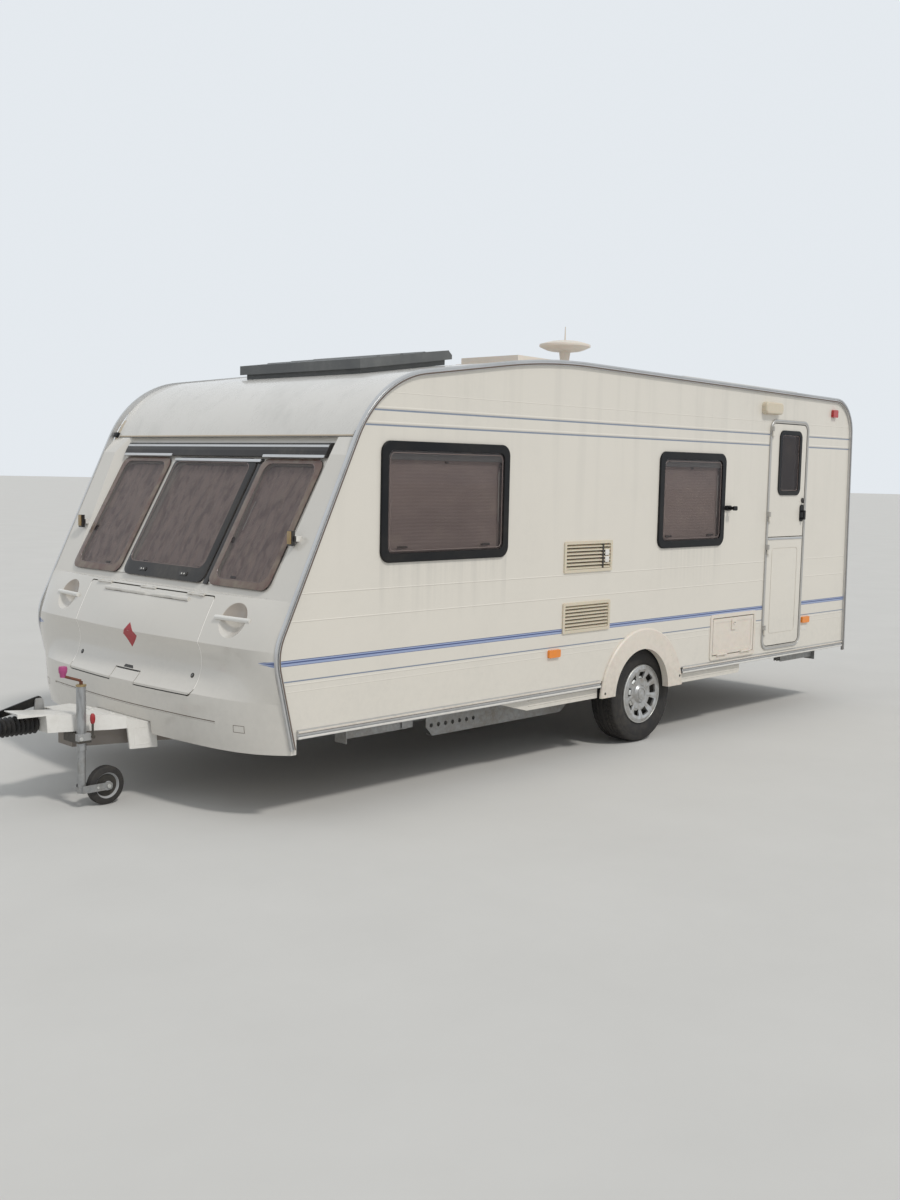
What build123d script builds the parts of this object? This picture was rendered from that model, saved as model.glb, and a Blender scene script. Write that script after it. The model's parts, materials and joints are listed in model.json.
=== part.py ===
from build123d import *
from math import asin, cos, hypot, pi, radians, sin, tan
import os

# Single-axle travel caravan, standing level on its wheels and its jockey wheel.
# While it is modelled, x runs forward from the wheel hubs, y to the side with the entrance door
# and z up from the ground. At the end every piece moves by the same amount along x, so that the
# origin lies on the ground under the middle of the whole vehicle.

# Side outline of the body. Columns: x, z, corner radius
OUTLINE_LOW = 200
FRONT_FOOT = (2896, OUTLINE_LOW, 0)
CHIN = (3049, 848, 285)
BROW = (2406, 2200, 620)
PEAK = (1089, 2380, 5000)
TAIL = (-2530, 2320, 260)
REAR_FOOT = (-2584, OUTLINE_LOW, 0)
BODY = [FRONT_FOOT, CHIN, BROW, PEAK, TAIL, REAR_FOOT]

# Shell
BODY_HALF = 1130
WALL_T = 28
SKIN_T = 30
FLOOR_LOW = 457
FLOOR_T = 43
FLOOR_TOP = FLOOR_LOW + FLOOR_T
INSIDE_HALF = BODY_HALF - WALL_T
FLOOR_FRONT = 2880
SEAM = 0.3

# Overhanging brow of the roof
LIP_X = 2516
LIP_Z = 1889
DOME_SETBACK = 38
ROOF_REAR_Z = 2040

# Lower front moulding: heights of the stations, then rows of half width and x at each height
FRONT_Z = (345, 465, 600, 724, 855, 1000, 1090)
FRONT_ROWS = [
    (0, (3162, 3174, 3176, 3106, 3130, 3064, 2988)),
    (580, (3134, 3148, 3142, 3077, 3101, 3034, 2985)),
    (950, (3062, 3082, 3084, 3066, 3074, 3010, 2946)),
    (BODY_HALF, (2930, 2959, 2990, 3028, 3028, 2978, 2936)),
]
FRONT_BACK_X = 2700
FRONT_T = 24
FRAME_DEPTH = 83
TOE_HALF = 265
TOE_TOP = 412
GROOVE_HALF = 780
GROOVE_Z = (474, 486)
GROOVE_DEPTH = 4

# Distances clear of the whole body, for cuts that go right through it
CLEAR_X = 4000
CLEAR_Y = BODY_HALF + 70
CLEAR_Z = PEAK[1] + 620

# Raked front windows
GLASS_FOOT_X = 2926
GLASS_FOOT_Z = 1118
GLASS_LEAN = 29.4
GLASS_HALF = 936
GLASS_LENGTH = 752
GLASS_T = 9
GLASS_CORNER = 95
PANE_GAP = 40
CENTRE_PANE_HALF = 386
RECESS_SPLAY = 50
RECESS_OUT = 90
WINDOW_RAIL_LOW = 1782
WINDOW_RAIL_HIGH = 1858
WINDOW_RAIL_OUT = 24

# Gap between the barrels of a hinge
PIN_GAP = 0.5

# Gas locker behind the front moulding
BULKHEAD_X = 2680
BULKHEAD_T = 20
SHELF_Z = 1032
LID_HALF = 588
LID_LOW = 589
LID_HIGH = 1074
LID_GAP = 6
LID_CORNER = 30
LID_NOTCH_HALF = 121
LID_NOTCH_HIGH = 653
LID_BAR_HALF = 400
LID_BAR_X = 3026
LID_BAR_BOW = 9
LID_BAR_DROP = 26
LID_PIN_X = 3005
LID_PIN_Z = 1077
LID_PIN_R = 5
LID_HINGES = (-440, 0, 440)
LID_HINGE_HALF = 34
LID_HINGE_STEP = LID_HINGE_HALF * 3 / 2 + PIN_GAP
LID_PIN_RELIEF = 1.5
LID_BAR_R = 13
HANDLE_Y = 792
HANDLE_Z = 985
HANDLE_HALF = 126
HANDLE_R = 12
HANDLE_RECESS_R = 96
HANDLE_RECESS_DEPTH = 34
HANDLE_TURN = 0.065
HANDLE_LEAN = 0.45

# Side windows. Columns: x front, x rear, z low, z high of the outer frame
DOOR_SIDE_WINDOWS = [(2372, 1408, 1256, 1877), (-27, -789, 1259, 1879)]
FAR_SIDE_WINDOWS = [(2372, 1408, 1256, 1877), (620, -342, 1256, 1877), (-1640, -2250, 1400, 1879)]
REAR_WINDOW = (360, -360, 1300, 1879)
WINDOW_CORNER = 62
WINDOW_LAP = 18
WINDOW_RING = 46
WINDOW_PROUD = 13
PANE_T = 10
BLIND_T = 3

# Fridge vents and other hatches. Columns: x front, x rear, z low, z high
VENTS = [(903, 444, 1141, 1327), (903, 450, 780, 962)]
VENT_PROUD = 9
VENT_SLATS = 7
FAR_HATCHES = [(-1180, -1580, 520, 860), (-560, -1000, 520, 780)]
HATCH_PROUD = 10

# Entrance door in two leaves
DOOR_X_FRONT = -1347
DOOR_X_REAR = -1888
DOOR_LOW = 486
DOOR_HIGH = 2137
DOOR_CORNER = 75
DOOR_RING = 24
DOOR_GAP = 6
DOOR_SPLIT = 1300
DOOR_T = 30
DOOR_FACE = BODY_HALF + 4
DOOR_FRAME_PROUD = 8
DOOR_LIP = 12
DOOR_WINDOW = (DOOR_X_FRONT - 130, DOOR_X_REAR + 102, DOOR_SPLIT + 300, DOOR_HIGH - 74)
DOOR_HANDLE = (DOOR_X_REAR + 62, DOOR_SPLIT + 170)
DOOR_CATCH = (-839, 1513)
HINGE_PROUD = 20
KNUCKLE_R = 9
KNUCKLE_LENGTH = 34
KNUCKLE_FROM_EDGE = (114, 120)
KNUCKLE_HEIGHTS_LOW = (DOOR_LOW + KNUCKLE_FROM_EDGE[0], DOOR_SPLIT - KNUCKLE_FROM_EDGE[1])
KNUCKLE_HEIGHTS_HIGH = (DOOR_SPLIT + KNUCKLE_FROM_EDGE[0], DOOR_HIGH - KNUCKLE_FROM_EDGE[1])

# Service locker flap, hinged along its foot
FLAP_X_FRONT = -685
FLAP_X_REAR = -1260
FLAP_LOW = 475
FLAP_HIGH = 787
FLAP_RING = 26
FLAP_CORNER = 22
FLAP_PIN_PROUD = 14
FLAP_PIN_R = 5
FLAP_PIN_OUT = 150
FLAP_PIN_HALF = 30
FLAP_RECESS = 3
FLAP_LOCK = (30, 80)

# Wheels, axle and arches
TYRE_R = 314
TYRE_W = 195
RIM_R = 178
RIM_W = 150
HUB_Z = TYRE_R
TRACK_HALF = BODY_HALF - 145
STUB_R = 20
STUB_FIT = 0.05
HUB_R = 62
DRUM_R = 118
TRIM_R = 192
TRIM_HOLES = 9
AXLE_X = 165
AXLE_Z = 300
AXLE_R = 48
ARM_T = 40
BOX_X = 50
BOX_R = 385
BOX_T = 8
BOX_IN = 842
ARCH_X = 94
ARCH_Z = 340
ARCH_R = 284
ARCH_OUT_X = 83
ARCH_OUT_Z = 318
ARCH_OUT_R = 437
ARCH_FOOT = 350
ARCH_PROUD = 18
ARCH_LAP = 14

# Chassis
MEMBER_Y = 800
MEMBER_T = 6
FLANGE_W = 50
MEMBER_FRONT = 1690
MEMBER_REAR = -2500
DEEP_LOW = 216
MEMBER_CHAMFER = 54
SHALLOW_LOW = 356
HOLE_ROW_Z = 277
HOLE_R = 13
HOLES = 7
HOLE_FIRST = 1648
HOLE_PITCH = 58.5
DRAWBAR_W = 50
DRAWBAR_LOW = 292
DRAWBAR_HIGH = 394
DRAWBAR_REAR = (1400, 772)
DRAWBAR_NOSE = (3500, 45)
CROSS_X = (1480, 60, -1180, -2440)

# Coupling
NECK_R = 30
NECK_Z = DRAWBAR_HIGH + NECK_R
NECK_REAR = 3440
NECK_FRONT = 3990
BALL_X = 4160
BALL_Z = 420
SOCKET_R = 25.25
SOCKET_WALL = 14
SOCKET_LOW = 392
NOSE_X = 4232
LEVER_LENGTH = 216
BELLOWS_R = 50
BELLOWS_FOLDS = 11
BRAKE_X = 3600
BRAKE_Z = 520
BRAKE_Y = -95
BRAKE_LENGTH = 400
BRAKE_SLOPE = 13.5
BRAKE_GRIP = 130
BRAKE_PIN_R = 8

# Hitch cover. Columns: x, half width, z low, z high
COVER_ROWS = [
    (3120, 262, 272, 400), (3268, 238, 276, 430), (3280, 234, 386, 444), (3360, 216, 386, 461),
    (3600, 128, 390, 478), (3800, 96, 396, 497),
]
COVER_T = 5
COVER_SLANT = 14

# Tongue of the hitch cover, which reaches forward over the bellows
TONGUE_X = 3660
TONGUE_LOW = 476

# Jockey wheel
JOCKEY_X = 3515
JOCKEY_Y = 190
JOCKEY_TUBE_R = 24
JOCKEY_TUBE_BORE = 20.5
JOCKEY_TUBE_LOW = 300
JOCKEY_TUBE_HIGH = 631
JOCKEY_LEG_R = JOCKEY_TUBE_BORE - SEAM
JOCKEY_LEG_TOP = 440
JOCKEY_WHEEL_R = 100
JOCKEY_WHEEL_W = 50
JOCKEY_TRAIL = 131
JOCKEY_AXLE_R = 8
JOCKEY_TRAVEL = 164
FORK_T = 6
FORK_GAP = 6
FORK_RISE = 19
CRANK_Z = 650
CLAMP_Z = 361

# Corner steadies. Columns: name, pivot x, side, way the foot points
STEADY_PIVOT_Z = 352
STEADY_ARM = 455
STEADY_Y = BODY_HALF - 200
STEADY_W = 56
STEADY_T = 5
STEADIES = [
    ("steady_front_door", 1990, 1, 1),
    ("steady_front_far", 1990, -1, 1),
    ("steady_rear_door", -1975, 1, -1),
    ("steady_rear_far", -1975, -1, -1),
]
STEADY_PIN_R = 9

# Roof fittings
HATCH_X_FRONT = 2006
HATCH_X_REAR = 1285
HATCH_HALF = 550
HATCH_RISE = 84

# Small rooflight: x front, middle y, size
SMALL_HATCH = (860, 430, 530)
HATCH_LAPS = (60, 40)

# Solar panel and aerial
PANEL_X_FRONT = -600
PANEL_X_REAR = -2100
PANEL_Y_OUT = 900
PANEL_Y_IN = 340
PANEL_T = 34
PANEL_STAND = 12
AERIAL_X = 125
AERIAL_Y = 450
AERIAL_R = 168
AERIAL_FOOT_R = 58
AERIAL_NECK_R = 26
AERIAL_Z = 2560
AERIAL_WHIP = 123

# Rails and trim
RAIL_W = 30
RAIL_PROUD = 15
RAIL_FRONT_LOW = 369
RAIL_REAR_LOW = 390
SILL_LOW = 421
SILL_HIGH = 466
SILL_PROUD = 14
SILL_REAR = -2546
SILL_FRONT = 2898
SKIRT_LOW = 352
SKIRT_T = 18

# Lamps on the walls. Columns: x front, x rear, z low, z high
SIDE_MARKERS = [(1028, 924, 648, 694), (-1905, -2009, 648, 694)]
HIGH_MARKER = (-2215, -2285, TAIL[1] - 136, TAIL[1] - 80)
AWNING_LAMP = (-1225, -1455, DOOR_HIGH + 31, DOOR_HIGH + 115)

# Front markers: height of the bracket, middle of the lens across the vehicle
MARKER_Z = 1392
MARKER_Y = BODY_HALF - 138

# Lamps on the rear panel. Columns: y low, y high, z low, z high, how far proud
REAR_LAMPS = [(BODY_HALF - 230, BODY_HALF - 70, 640, 1010, 36), (0, 150, 1985, 2025, 20)]
PLATE_HALF = 265
PLATE_Z = (640, 760)


def block(x, y, z):
    """Box between pairs of low and high values."""
    size = [high - low for low, high in (x, y, z)]
    middle = [(high + low) / 2 for low, high in (x, y, z)]
    return Pos(*middle) * Box(*size)


def both_sides(shape):
    """A shape and its mirror image on the other side of the vehicle."""
    return shape + mirror(shape, about=Plane.XZ)


def side_plane(y):
    return Plane(origin=(0, y, 0), x_dir=(1, 0, 0), z_dir=(0, -1, 0))


def face_of(corners):
    """Flat face through rows of across, up and corner radius."""
    points = [(across, up) for across, up, radius in corners]
    return make_face(FilletPolyline(*points, radius=[row[2] for row in corners], close=True))


def side_prism(corners, y_low, y_high):
    """A side view drawn in x and z, run across the vehicle from y_low to y_high."""
    return extrude(side_plane(y_high) * face_of(corners), amount=y_high - y_low, dir=(0, -1, 0))


def plan_prism(corners, z_low, z_high):
    return extrude(Plane.XY.offset(z_low) * face_of(corners), amount=z_high - z_low, dir=(0, 0, 1))


def inset(corners, depth, closed=True):
    """The same corners drawn inward by depth, for an outline that runs anticlockwise."""
    moved = []
    last = len(corners) - 1
    for index, (x, z, radius) in enumerate(corners):
        normals = []
        if closed or index > 0:
            normals.append(inward(corners[index - 1], corners[index]))
        if closed or index < last:
            normals.append(inward(corners[index], corners[(index + 1) % len(corners)]))
        first, second = normals[0], normals[-1]
        share = depth / (1 + first[0] * second[0] + first[1] * second[1])
        step_x = (first[0] + second[0]) * share
        step_z = (first[1] + second[1]) * share
        moved.append((x + step_x, z + step_z, max(radius - depth, 0) if radius else 0))
    return moved


def inward(start, end):
    """Unit normal to the left of the way from start to end."""
    run, rise = end[0] - start[0], end[1] - start[1]
    return -rise / hypot(run, rise), run / hypot(run, rise)


def band(corners, depth, y_low, y_high):
    """A skin of even depth inside an open run of corners."""
    inner = inset(corners, depth, closed=False)
    return side_prism(list(corners) + inner[::-1], y_low, y_high)


def at_height(start, end, z):
    """Row on the straight line from start to end at height z."""
    share = (z - start[1]) / (end[1] - start[1])
    return start[0] + (end[0] - start[0]) * share, z, 0


def body_core(depth, y_low, y_high, z_low=FLOOR_LOW):
    """The body's side outline drawn inward by depth, above z_low."""
    prism = side_prism(inset(BODY, depth), y_low, y_high)
    return prism & block((-CLEAR_X, CLEAR_X), (y_low, y_high), (z_low, CLEAR_Z))


def side_rect(rect, y_low, y_high, radius, inset_by=0):
    """Upright rectangle with round corners, from x front, x rear, z low and z high."""
    x_front, x_rear, z_low, z_high = rect
    corners = [
        (x_rear + inset_by, z_low + inset_by, radius),
        (x_front - inset_by, z_low + inset_by, radius),
        (x_front - inset_by, z_high - inset_by, radius),
        (x_rear + inset_by, z_high - inset_by, radius),
    ]
    return side_prism(corners, y_low, y_high)


def across_cylinder(x, z, radius, y_low, y_high):
    """Cylinder whose axis runs across the vehicle."""
    return extrude(side_plane(y_high) * Pos(x, z) * Circle(radius), amount=y_high - y_low, dir=(0, -1, 0))


def rod(start, end, radius):
    """Round rod between two points."""
    run = Vector(*end) - Vector(*start)
    plane = Plane(origin=start, z_dir=run)
    return extrude(plane * Circle(radius), amount=run.length, dir=run.normalized())


def wall_slabs():
    """Both side walls before anything is cut out of them, with room for the seam."""
    return both_sides(body_core(SKIN_T, INSIDE_HALF - SEAM, BODY_HALF + 1))


# Side walls

def wall(windows, others):
    """One side wall with its windows, hatches and wheel arch cut out."""
    slab = body_core(SKIN_T + SEAM, INSIDE_HALF, BODY_HALF)
    reach = (INSIDE_HALF - 1, BODY_HALF + 1)
    for rect in windows:
        slab -= side_rect(rect, *reach, WINDOW_CORNER - WINDOW_LAP, WINDOW_LAP)
    for rect, radius, lap in others:
        slab -= side_rect(rect, *reach, radius, lap)
    return slab - across_cylinder(ARCH_X, ARCH_Z, ARCH_R + ARCH_LAP, *reach)


def wall_door_side():
    door = (DOOR_X_FRONT, DOOR_X_REAR, DOOR_LOW, DOOR_HIGH)
    flap = (FLAP_X_FRONT, FLAP_X_REAR, FLAP_LOW, FLAP_HIGH)
    others = [(door, DOOR_CORNER - DOOR_GAP, DOOR_GAP), (flap, FLAP_CORNER - 4, 4)]
    others += [(vent, 4, 10) for vent in VENTS]
    return wall(DOOR_SIDE_WINDOWS, others)


def wall_far_side():
    others = [(hatch, 10, 10) for hatch in FAR_HATCHES]
    return mirror(wall(FAR_SIDE_WINDOWS, others), about=Plane.XZ)


# Roof, rear and floor

def roof_rows():
    """Outer line of the roof from the lip over the windows to the top of the rear panel."""
    brow = (BROW[0] - DOME_SETBACK, BROW[1], BROW[2])
    return [(LIP_X, LIP_Z, 0), brow, PEAK, TAIL, at_height(TAIL, REAR_FOOT, ROOF_REAR_Z)]


def roof_z(x):
    """Height of the roof's outer face at x, clear of its rounded ends."""
    brow = roof_rows()[1]
    low, high = (brow, PEAK) if x > PEAK[0] else (PEAK, TAIL)
    return low[1] + (high[1] - low[1]) * (x - low[0]) / (high[0] - low[0])


def roof_panel():
    roof = band(roof_rows(), SKIN_T, -BODY_HALF, BODY_HALF) - wall_slabs()
    above = (LIP_Z, CLEAR_Z)
    roof &= block((-CLEAR_X, CLEAR_X), (-BODY_HALF, BODY_HALF), above)
    lap, small_lap = HATCH_LAPS
    roof -= block((HATCH_X_REAR + lap, HATCH_X_FRONT - lap), (lap - HATCH_HALF, HATCH_HALF - lap), above)
    front, mid_y, size = SMALL_HATCH
    half = size / 2 - small_lap
    return roof - block((front - size + small_lap, front - small_lap), (mid_y - half, mid_y + half), above)


def rear_panel():
    top = at_height(TAIL, REAR_FOOT, ROOF_REAR_Z - SEAM)
    foot = at_height(TAIL, REAR_FOOT, SILL_LOW)
    panel = band([top, foot], SKIN_T, -BODY_HALF, BODY_HALF) - wall_slabs()
    bumper_face = foot[0] - 26
    bumper = [
        (foot[0] + 2, SILL_LOW, 0), (foot[0] + 2, 612, 0), (bumper_face + 8, 596, 8), (bumper_face, 560, 8),
        (bumper_face, 440, 10), (bumper_face + 12, SILL_LOW, 0),
    ]
    panel += side_prism(bumper, -BODY_HALF + 20, BODY_HALF - 20)
    reach = (INSIDE_HALF - 20, BODY_HALF + 20)
    panel -= on_rear_wall(side_rect(REAR_WINDOW, *reach, WINDOW_CORNER - WINDOW_LAP, WINDOW_LAP))
    return panel + number_plate()


def floor_panel():
    rear = at_height(TAIL, REAR_FOOT, FLOOR_LOW)[0] + SKIN_T + 4
    half = INSIDE_HALF - SEAM
    floor = block((rear, FLOOR_FRONT), (-half, half), (FLOOR_LOW + SEAM, FLOOR_TOP))
    floor -= door_rect(0, INSIDE_HALF - 13, BODY_HALF)
    return floor - both_sides(across_cylinder(BOX_X, HUB_Z, BOX_R + SEAM, BOX_IN - SEAM, half + 1))


def wheel_boxes():
    """Inner arches that keep the wheels out of the cabin."""
    half = INSIDE_HALF - SEAM
    box = across_cylinder(BOX_X, HUB_Z, BOX_R, BOX_IN, half)
    box -= across_cylinder(BOX_X, HUB_Z, BOX_R - BOX_T, BOX_IN + BOX_T, half + 1)
    return both_sides(box & block((-2000, 2000), (0, 2000), (FLOOR_LOW + SEAM, 2000)))


# Front moulding

def front_section(half, stations, depth):
    """One side view of the lower front moulding, drawn back by depth."""
    points = [(x - depth, z) for x, z in zip(stations, FRONT_Z)]
    low, high = points[0], points[-1]
    path = ThreePointArc(*points[0:3]) + ThreePointArc(*points[2:5]) + ThreePointArc(*points[4:7])
    path += Polyline(high, (FRONT_BACK_X, high[1]), (FRONT_BACK_X, low[1]), low)
    return side_plane(half) * make_face(path)


def front_body(depth=0):
    """Smooth solid through the sections of the lower front moulding, drawn back by depth."""
    rows = [(-half, stations) for half, stations in FRONT_ROWS[:0:-1]] + FRONT_ROWS
    return loft([front_section(half, stations, depth) for half, stations in rows])


def lid_prism(gap):
    """What the gas locker lid covers in the front view, widened by gap."""
    low, high = LID_LOW - gap, LID_HIGH + gap
    half, notch = LID_HALF + gap, LID_NOTCH_HALF - gap
    corners = [
        (-half, low, LID_CORNER), (-notch, low, 0), (-notch, LID_NOTCH_HIGH - gap, 0),
        (notch, LID_NOTCH_HIGH - gap, 0), (notch, low, 0), (half, low, LID_CORNER),
        (half, high, LID_CORNER / 2), (-half, high, LID_CORNER / 2),
    ]
    plane = Plane(origin=(FRONT_BACK_X + 60, 0, 0), x_dir=(0, 1, 0), z_dir=(1, 0, 0))
    return extrude(plane * face_of(corners), amount=800, dir=(1, 0, 0))


def handle_recess():
    """Round dish behind each grab handle, cut by the ball that its mouth and depth ask for."""
    radius = (HANDLE_RECESS_R ** 2 + HANDLE_RECESS_DEPTH ** 2) / (2 * HANDLE_RECESS_DEPTH)
    (inner_y, inner), (outer_y, outer) = FRONT_ROWS[1:3]
    share = (HANDLE_Y - inner_y) / (outer_y - inner_y)
    face_x = inner[5] + (outer[5] - inner[5]) * share + (FRONT_Z[5] - HANDLE_Z) * HANDLE_LEAN
    outward = Vector(1, HANDLE_TURN, HANDLE_LEAN).normalized()
    middle = Vector(face_x, HANDLE_Y, HANDLE_Z) + outward * (radius - HANDLE_RECESS_DEPTH)
    return both_sides(Pos(*middle) * Sphere(radius))


def glass_plane():
    lean = radians(GLASS_LEAN)
    return Plane(origin=(GLASS_FOOT_X, 0, GLASS_FOOT_Z), x_dir=(0, 1, 0), z_dir=(cos(lean), 0, sin(lean)))


def glass_rect(low_y, high_y, low, high, radius, near, far):
    """Plate on the window plane: y range, range along the slope, and range out from the plane."""
    corners = [(low_y, low, radius), (high_y, low, radius), (high_y, high, radius), (low_y, high, radius)]
    plane = glass_plane().offset(near)
    return extrude(plane * face_of(corners), amount=far - near, dir=glass_plane().z_dir)


def front_pillars():
    """Raked frame round the front windows, deepest at its top."""
    low = at_height(CHIN, BROW, FRONT_Z[-1] - 8)
    high = at_height(CHIN, BROW, LIP_Z - SEAM)
    blend = at_height(CHIN, BROW, LIP_Z - 90)
    corners = [
        low, blend, (LIP_X, high[1], 0), (high[0] - FRAME_DEPTH, high[1], 0),
        (low[0] - FRAME_DEPTH, low[1], 0),
    ]
    frame = side_prism(corners, -BODY_HALF, BODY_HALF)
    recess = glass_plane() * Pos(0, 450) * Rectangle(2 * GLASS_HALF + 18, 910)
    frame -= extrude(recess, amount=RECESS_OUT, taper=-RECESS_SPLAY)
    return frame - glass_rect(-GLASS_HALF, GLASS_HALF, 10, GLASS_LENGTH, GLASS_CORNER, -250, 10)


def front_panel():
    """Front moulding: shell round the gas locker, locker floor and window pillars."""
    body = front_body()
    back, foot = FRONT_BACK_X - 10, FRONT_Z[0] - 10
    inside = (-INSIDE_HALF, INSIDE_HALF)
    across = (-CLEAR_Y, CLEAR_Y)
    shell = body - (front_body(FRONT_T) & block((back, CLEAR_X), inside, (foot, FRONT_Z[-1] - FRONT_T)))
    shell += body & block((FLOOR_FRONT + SEAM, CLEAR_X), inside, (FLOOR_LOW, FLOOR_TOP))
    shell += handle_pockets(body)
    shell -= lid_prism(LID_GAP)
    shell -= block((back, CLEAR_X), (-TOE_HALF, TOE_HALF), (foot, TOE_TOP))
    shell -= handle_recess()
    groove = block((back, CLEAR_X), (-GROOVE_HALF, GROOVE_HALF), GROOVE_Z)
    shell -= (body - front_body(GROOVE_DEPTH)) & groove
    pillar_back = at_height(CHIN, BROW, FRONT_Z[-1])[0] - FRAME_DEPTH
    shell -= block((back, pillar_back), across, (0, FRONT_Z[-1] + 10))
    shell -= block((back, SILL_FRONT + SEAM), across, (0, FLOOR_LOW - SEAM))
    for offset in (-LID_HINGE_STEP, LID_HINGE_STEP):
        shell += lid_barrels(offset, LID_HINGE_HALF / 2, LID_HIGH + LID_GAP + 6)
    return shell + front_pillars() - wall_slabs()


def handle_pockets(body):
    """Closed backs of the handle pockets, inside the shell."""
    depth = HANDLE_RECESS_DEPTH + FRONT_T
    face = FRONT_ROWS[2][1][5] - depth + 12
    across = (HANDLE_Y - HANDLE_HALF, HANDLE_Y + HANDLE_HALF)
    back = block((face, CLEAR_X), across, (HANDLE_Z - HANDLE_RECESS_R - 8, FRONT_Z[-1] - 2))
    return both_sides(back) & body


def lid_barrels(offset, half, z_foot):
    """Hinge barrels on the lid's pin line, each with a strap that reaches down or up to z_foot."""
    barrels = Part()
    for y in LID_HINGES:
        low, high = y + offset - half, y + offset + half
        barrels += rod((LID_PIN_X, low, LID_PIN_Z), (LID_PIN_X, high, LID_PIN_Z), LID_PIN_R)
        barrels += block((LID_PIN_X - 22, LID_PIN_X), (low, high), sorted((LID_PIN_Z, z_foot)))
    return barrels


def gas_locker_lid():
    """Lid of the gas locker with its hinge barrels and the bowed bar along its top."""
    lid = (front_body() - front_body(FRONT_T)) & lid_prism(0)
    bar_z = LID_HIGH - LID_BAR_DROP
    ends = [(LID_BAR_X - LID_BAR_BOW, way * LID_BAR_HALF, bar_z) for way in (-1, 1)]
    line = ThreePointArc(ends[0], (LID_BAR_X, 0, bar_z), ends[1])
    bar = sweep((line ^ 0) * Circle(LID_BAR_R), path=line)
    return lid + bar - lid_pin_reliefs() + lid_barrels(0, LID_HINGE_HALF, LID_HIGH - 8)


def lid_pin_reliefs():
    """Round grooves in the lid's upper edge, where the fixed barrels turn in it."""
    half = LID_HINGE_HALF / 2 + PIN_GAP
    grooves = Part()
    for y in LID_HINGES:
        for middle in (y - LID_HINGE_STEP, y + LID_HINGE_STEP):
            ends = [(LID_PIN_X, middle + way * half, LID_PIN_Z) for way in (-1, 1)]
            grooves += rod(*ends, LID_PIN_R + LID_PIN_RELIEF)
    return grooves


def grab_handles():
    """Bars across the half-moon pockets."""
    inner_x = FRONT_ROWS[1][1][5] + 8
    outer_x = FRONT_ROWS[2][1][5] + 8
    inner = (inner_x, HANDLE_Y - HANDLE_HALF, HANDLE_Z)
    outer = (outer_x, HANDLE_Y + HANDLE_HALF, HANDLE_Z)
    return both_sides(rod(inner, outer, HANDLE_R)) - (front_body() - handle_recess())


def locker_bulkhead():
    """Wall and shelf between the gas locker and the cabin."""
    half = INSIDE_HALF - SEAM
    shelf_front = at_height(CHIN, BROW, FRONT_Z[-1])[0] - FRAME_DEPTH - SEAM
    wall_part = block((BULKHEAD_X, BULKHEAD_X + BULKHEAD_T), (-half, half), (FLOOR_TOP + SEAM, SHELF_Z))
    return wall_part + block((BULKHEAD_X, shelf_front), (-half, half), (SHELF_Z, SHELF_Z + BULKHEAD_T))


def front_window_frame():
    """White frame and two posts behind the three front panes."""
    frame = glass_rect(-GLASS_HALF + 1, GLASS_HALF - 1, 11, GLASS_LENGTH - 1, GLASS_CORNER - 1, -26, 0)
    for low_y, high_y in pane_spans():
        frame -= glass_rect(low_y + 24, high_y - 24, 40, GLASS_LENGTH - 34, GLASS_CORNER - 30, -27, 1)
    return frame


def pane_spans():
    """Y range of each front pane."""
    inner = CENTRE_PANE_HALF + PANE_GAP
    return [(-GLASS_HALF + 6, -inner), (-CENTRE_PANE_HALF, CENTRE_PANE_HALF), (inner, GLASS_HALF - 6)]


def front_panes():
    panes = Part()
    for low_y, high_y in pane_spans():
        panes += glass_rect(low_y, high_y, 4, GLASS_LENGTH - 4, GLASS_CORNER - 40, SEAM, GLASS_T)
    return panes


def front_window_rail():
    """Aluminium hinge rail over the three front panes."""
    plane_x = GLASS_FOOT_X - (WINDOW_RAIL_LOW - GLASS_FOOT_Z) * tan(radians(GLASS_LEAN))
    top_x = GLASS_FOOT_X - (WINDOW_RAIL_HIGH - GLASS_FOOT_Z) * tan(radians(GLASS_LEAN))
    corners = [
        (plane_x, WINDOW_RAIL_LOW, 0), (plane_x + WINDOW_RAIL_OUT, WINDOW_RAIL_LOW, 5),
        (plane_x + 8, WINDOW_RAIL_LOW + 36, 3), (top_x + WINDOW_RAIL_OUT, WINDOW_RAIL_HIGH, 5),
        (top_x, WINDOW_RAIL_HIGH, 0),
    ]
    return side_prism(corners, -GLASS_HALF, GLASS_HALF)


# Windows of the side and rear walls

def window_ring(rect):
    """Black rubber frame in a wall, lapping over its outer face."""
    flange = side_rect(rect, BODY_HALF, BODY_HALF + WINDOW_PROUD, WINDOW_CORNER)
    sleeve = side_rect(rect, INSIDE_HALF, BODY_HALF, WINDOW_CORNER - WINDOW_LAP, WINDOW_LAP)
    opening = side_rect(rect, INSIDE_HALF - 1, BODY_HALF + 50, WINDOW_CORNER - 26, WINDOW_RING)
    outer_edges = flange.edges().group_by(Axis.Y)[-1]
    return fillet(outer_edges, 5) + sleeve - opening


def side_pane(rect, thickness, face):
    """Plate that fills a window frame, with its outer face at y = face."""
    return side_rect(rect, face - thickness, face, WINDOW_CORNER - 27, WINDOW_RING + SEAM)


def on_all_walls(maker, *sizes):
    """The same window piece on both side walls and on the rear wall."""
    pieces = Part()
    for rect in DOOR_SIDE_WINDOWS:
        pieces += maker(rect, *sizes)
    for rect in FAR_SIDE_WINDOWS:
        pieces += mirror(maker(rect, *sizes), about=Plane.XZ)
    return pieces + on_rear_wall(maker(REAR_WINDOW, *sizes))


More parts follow.
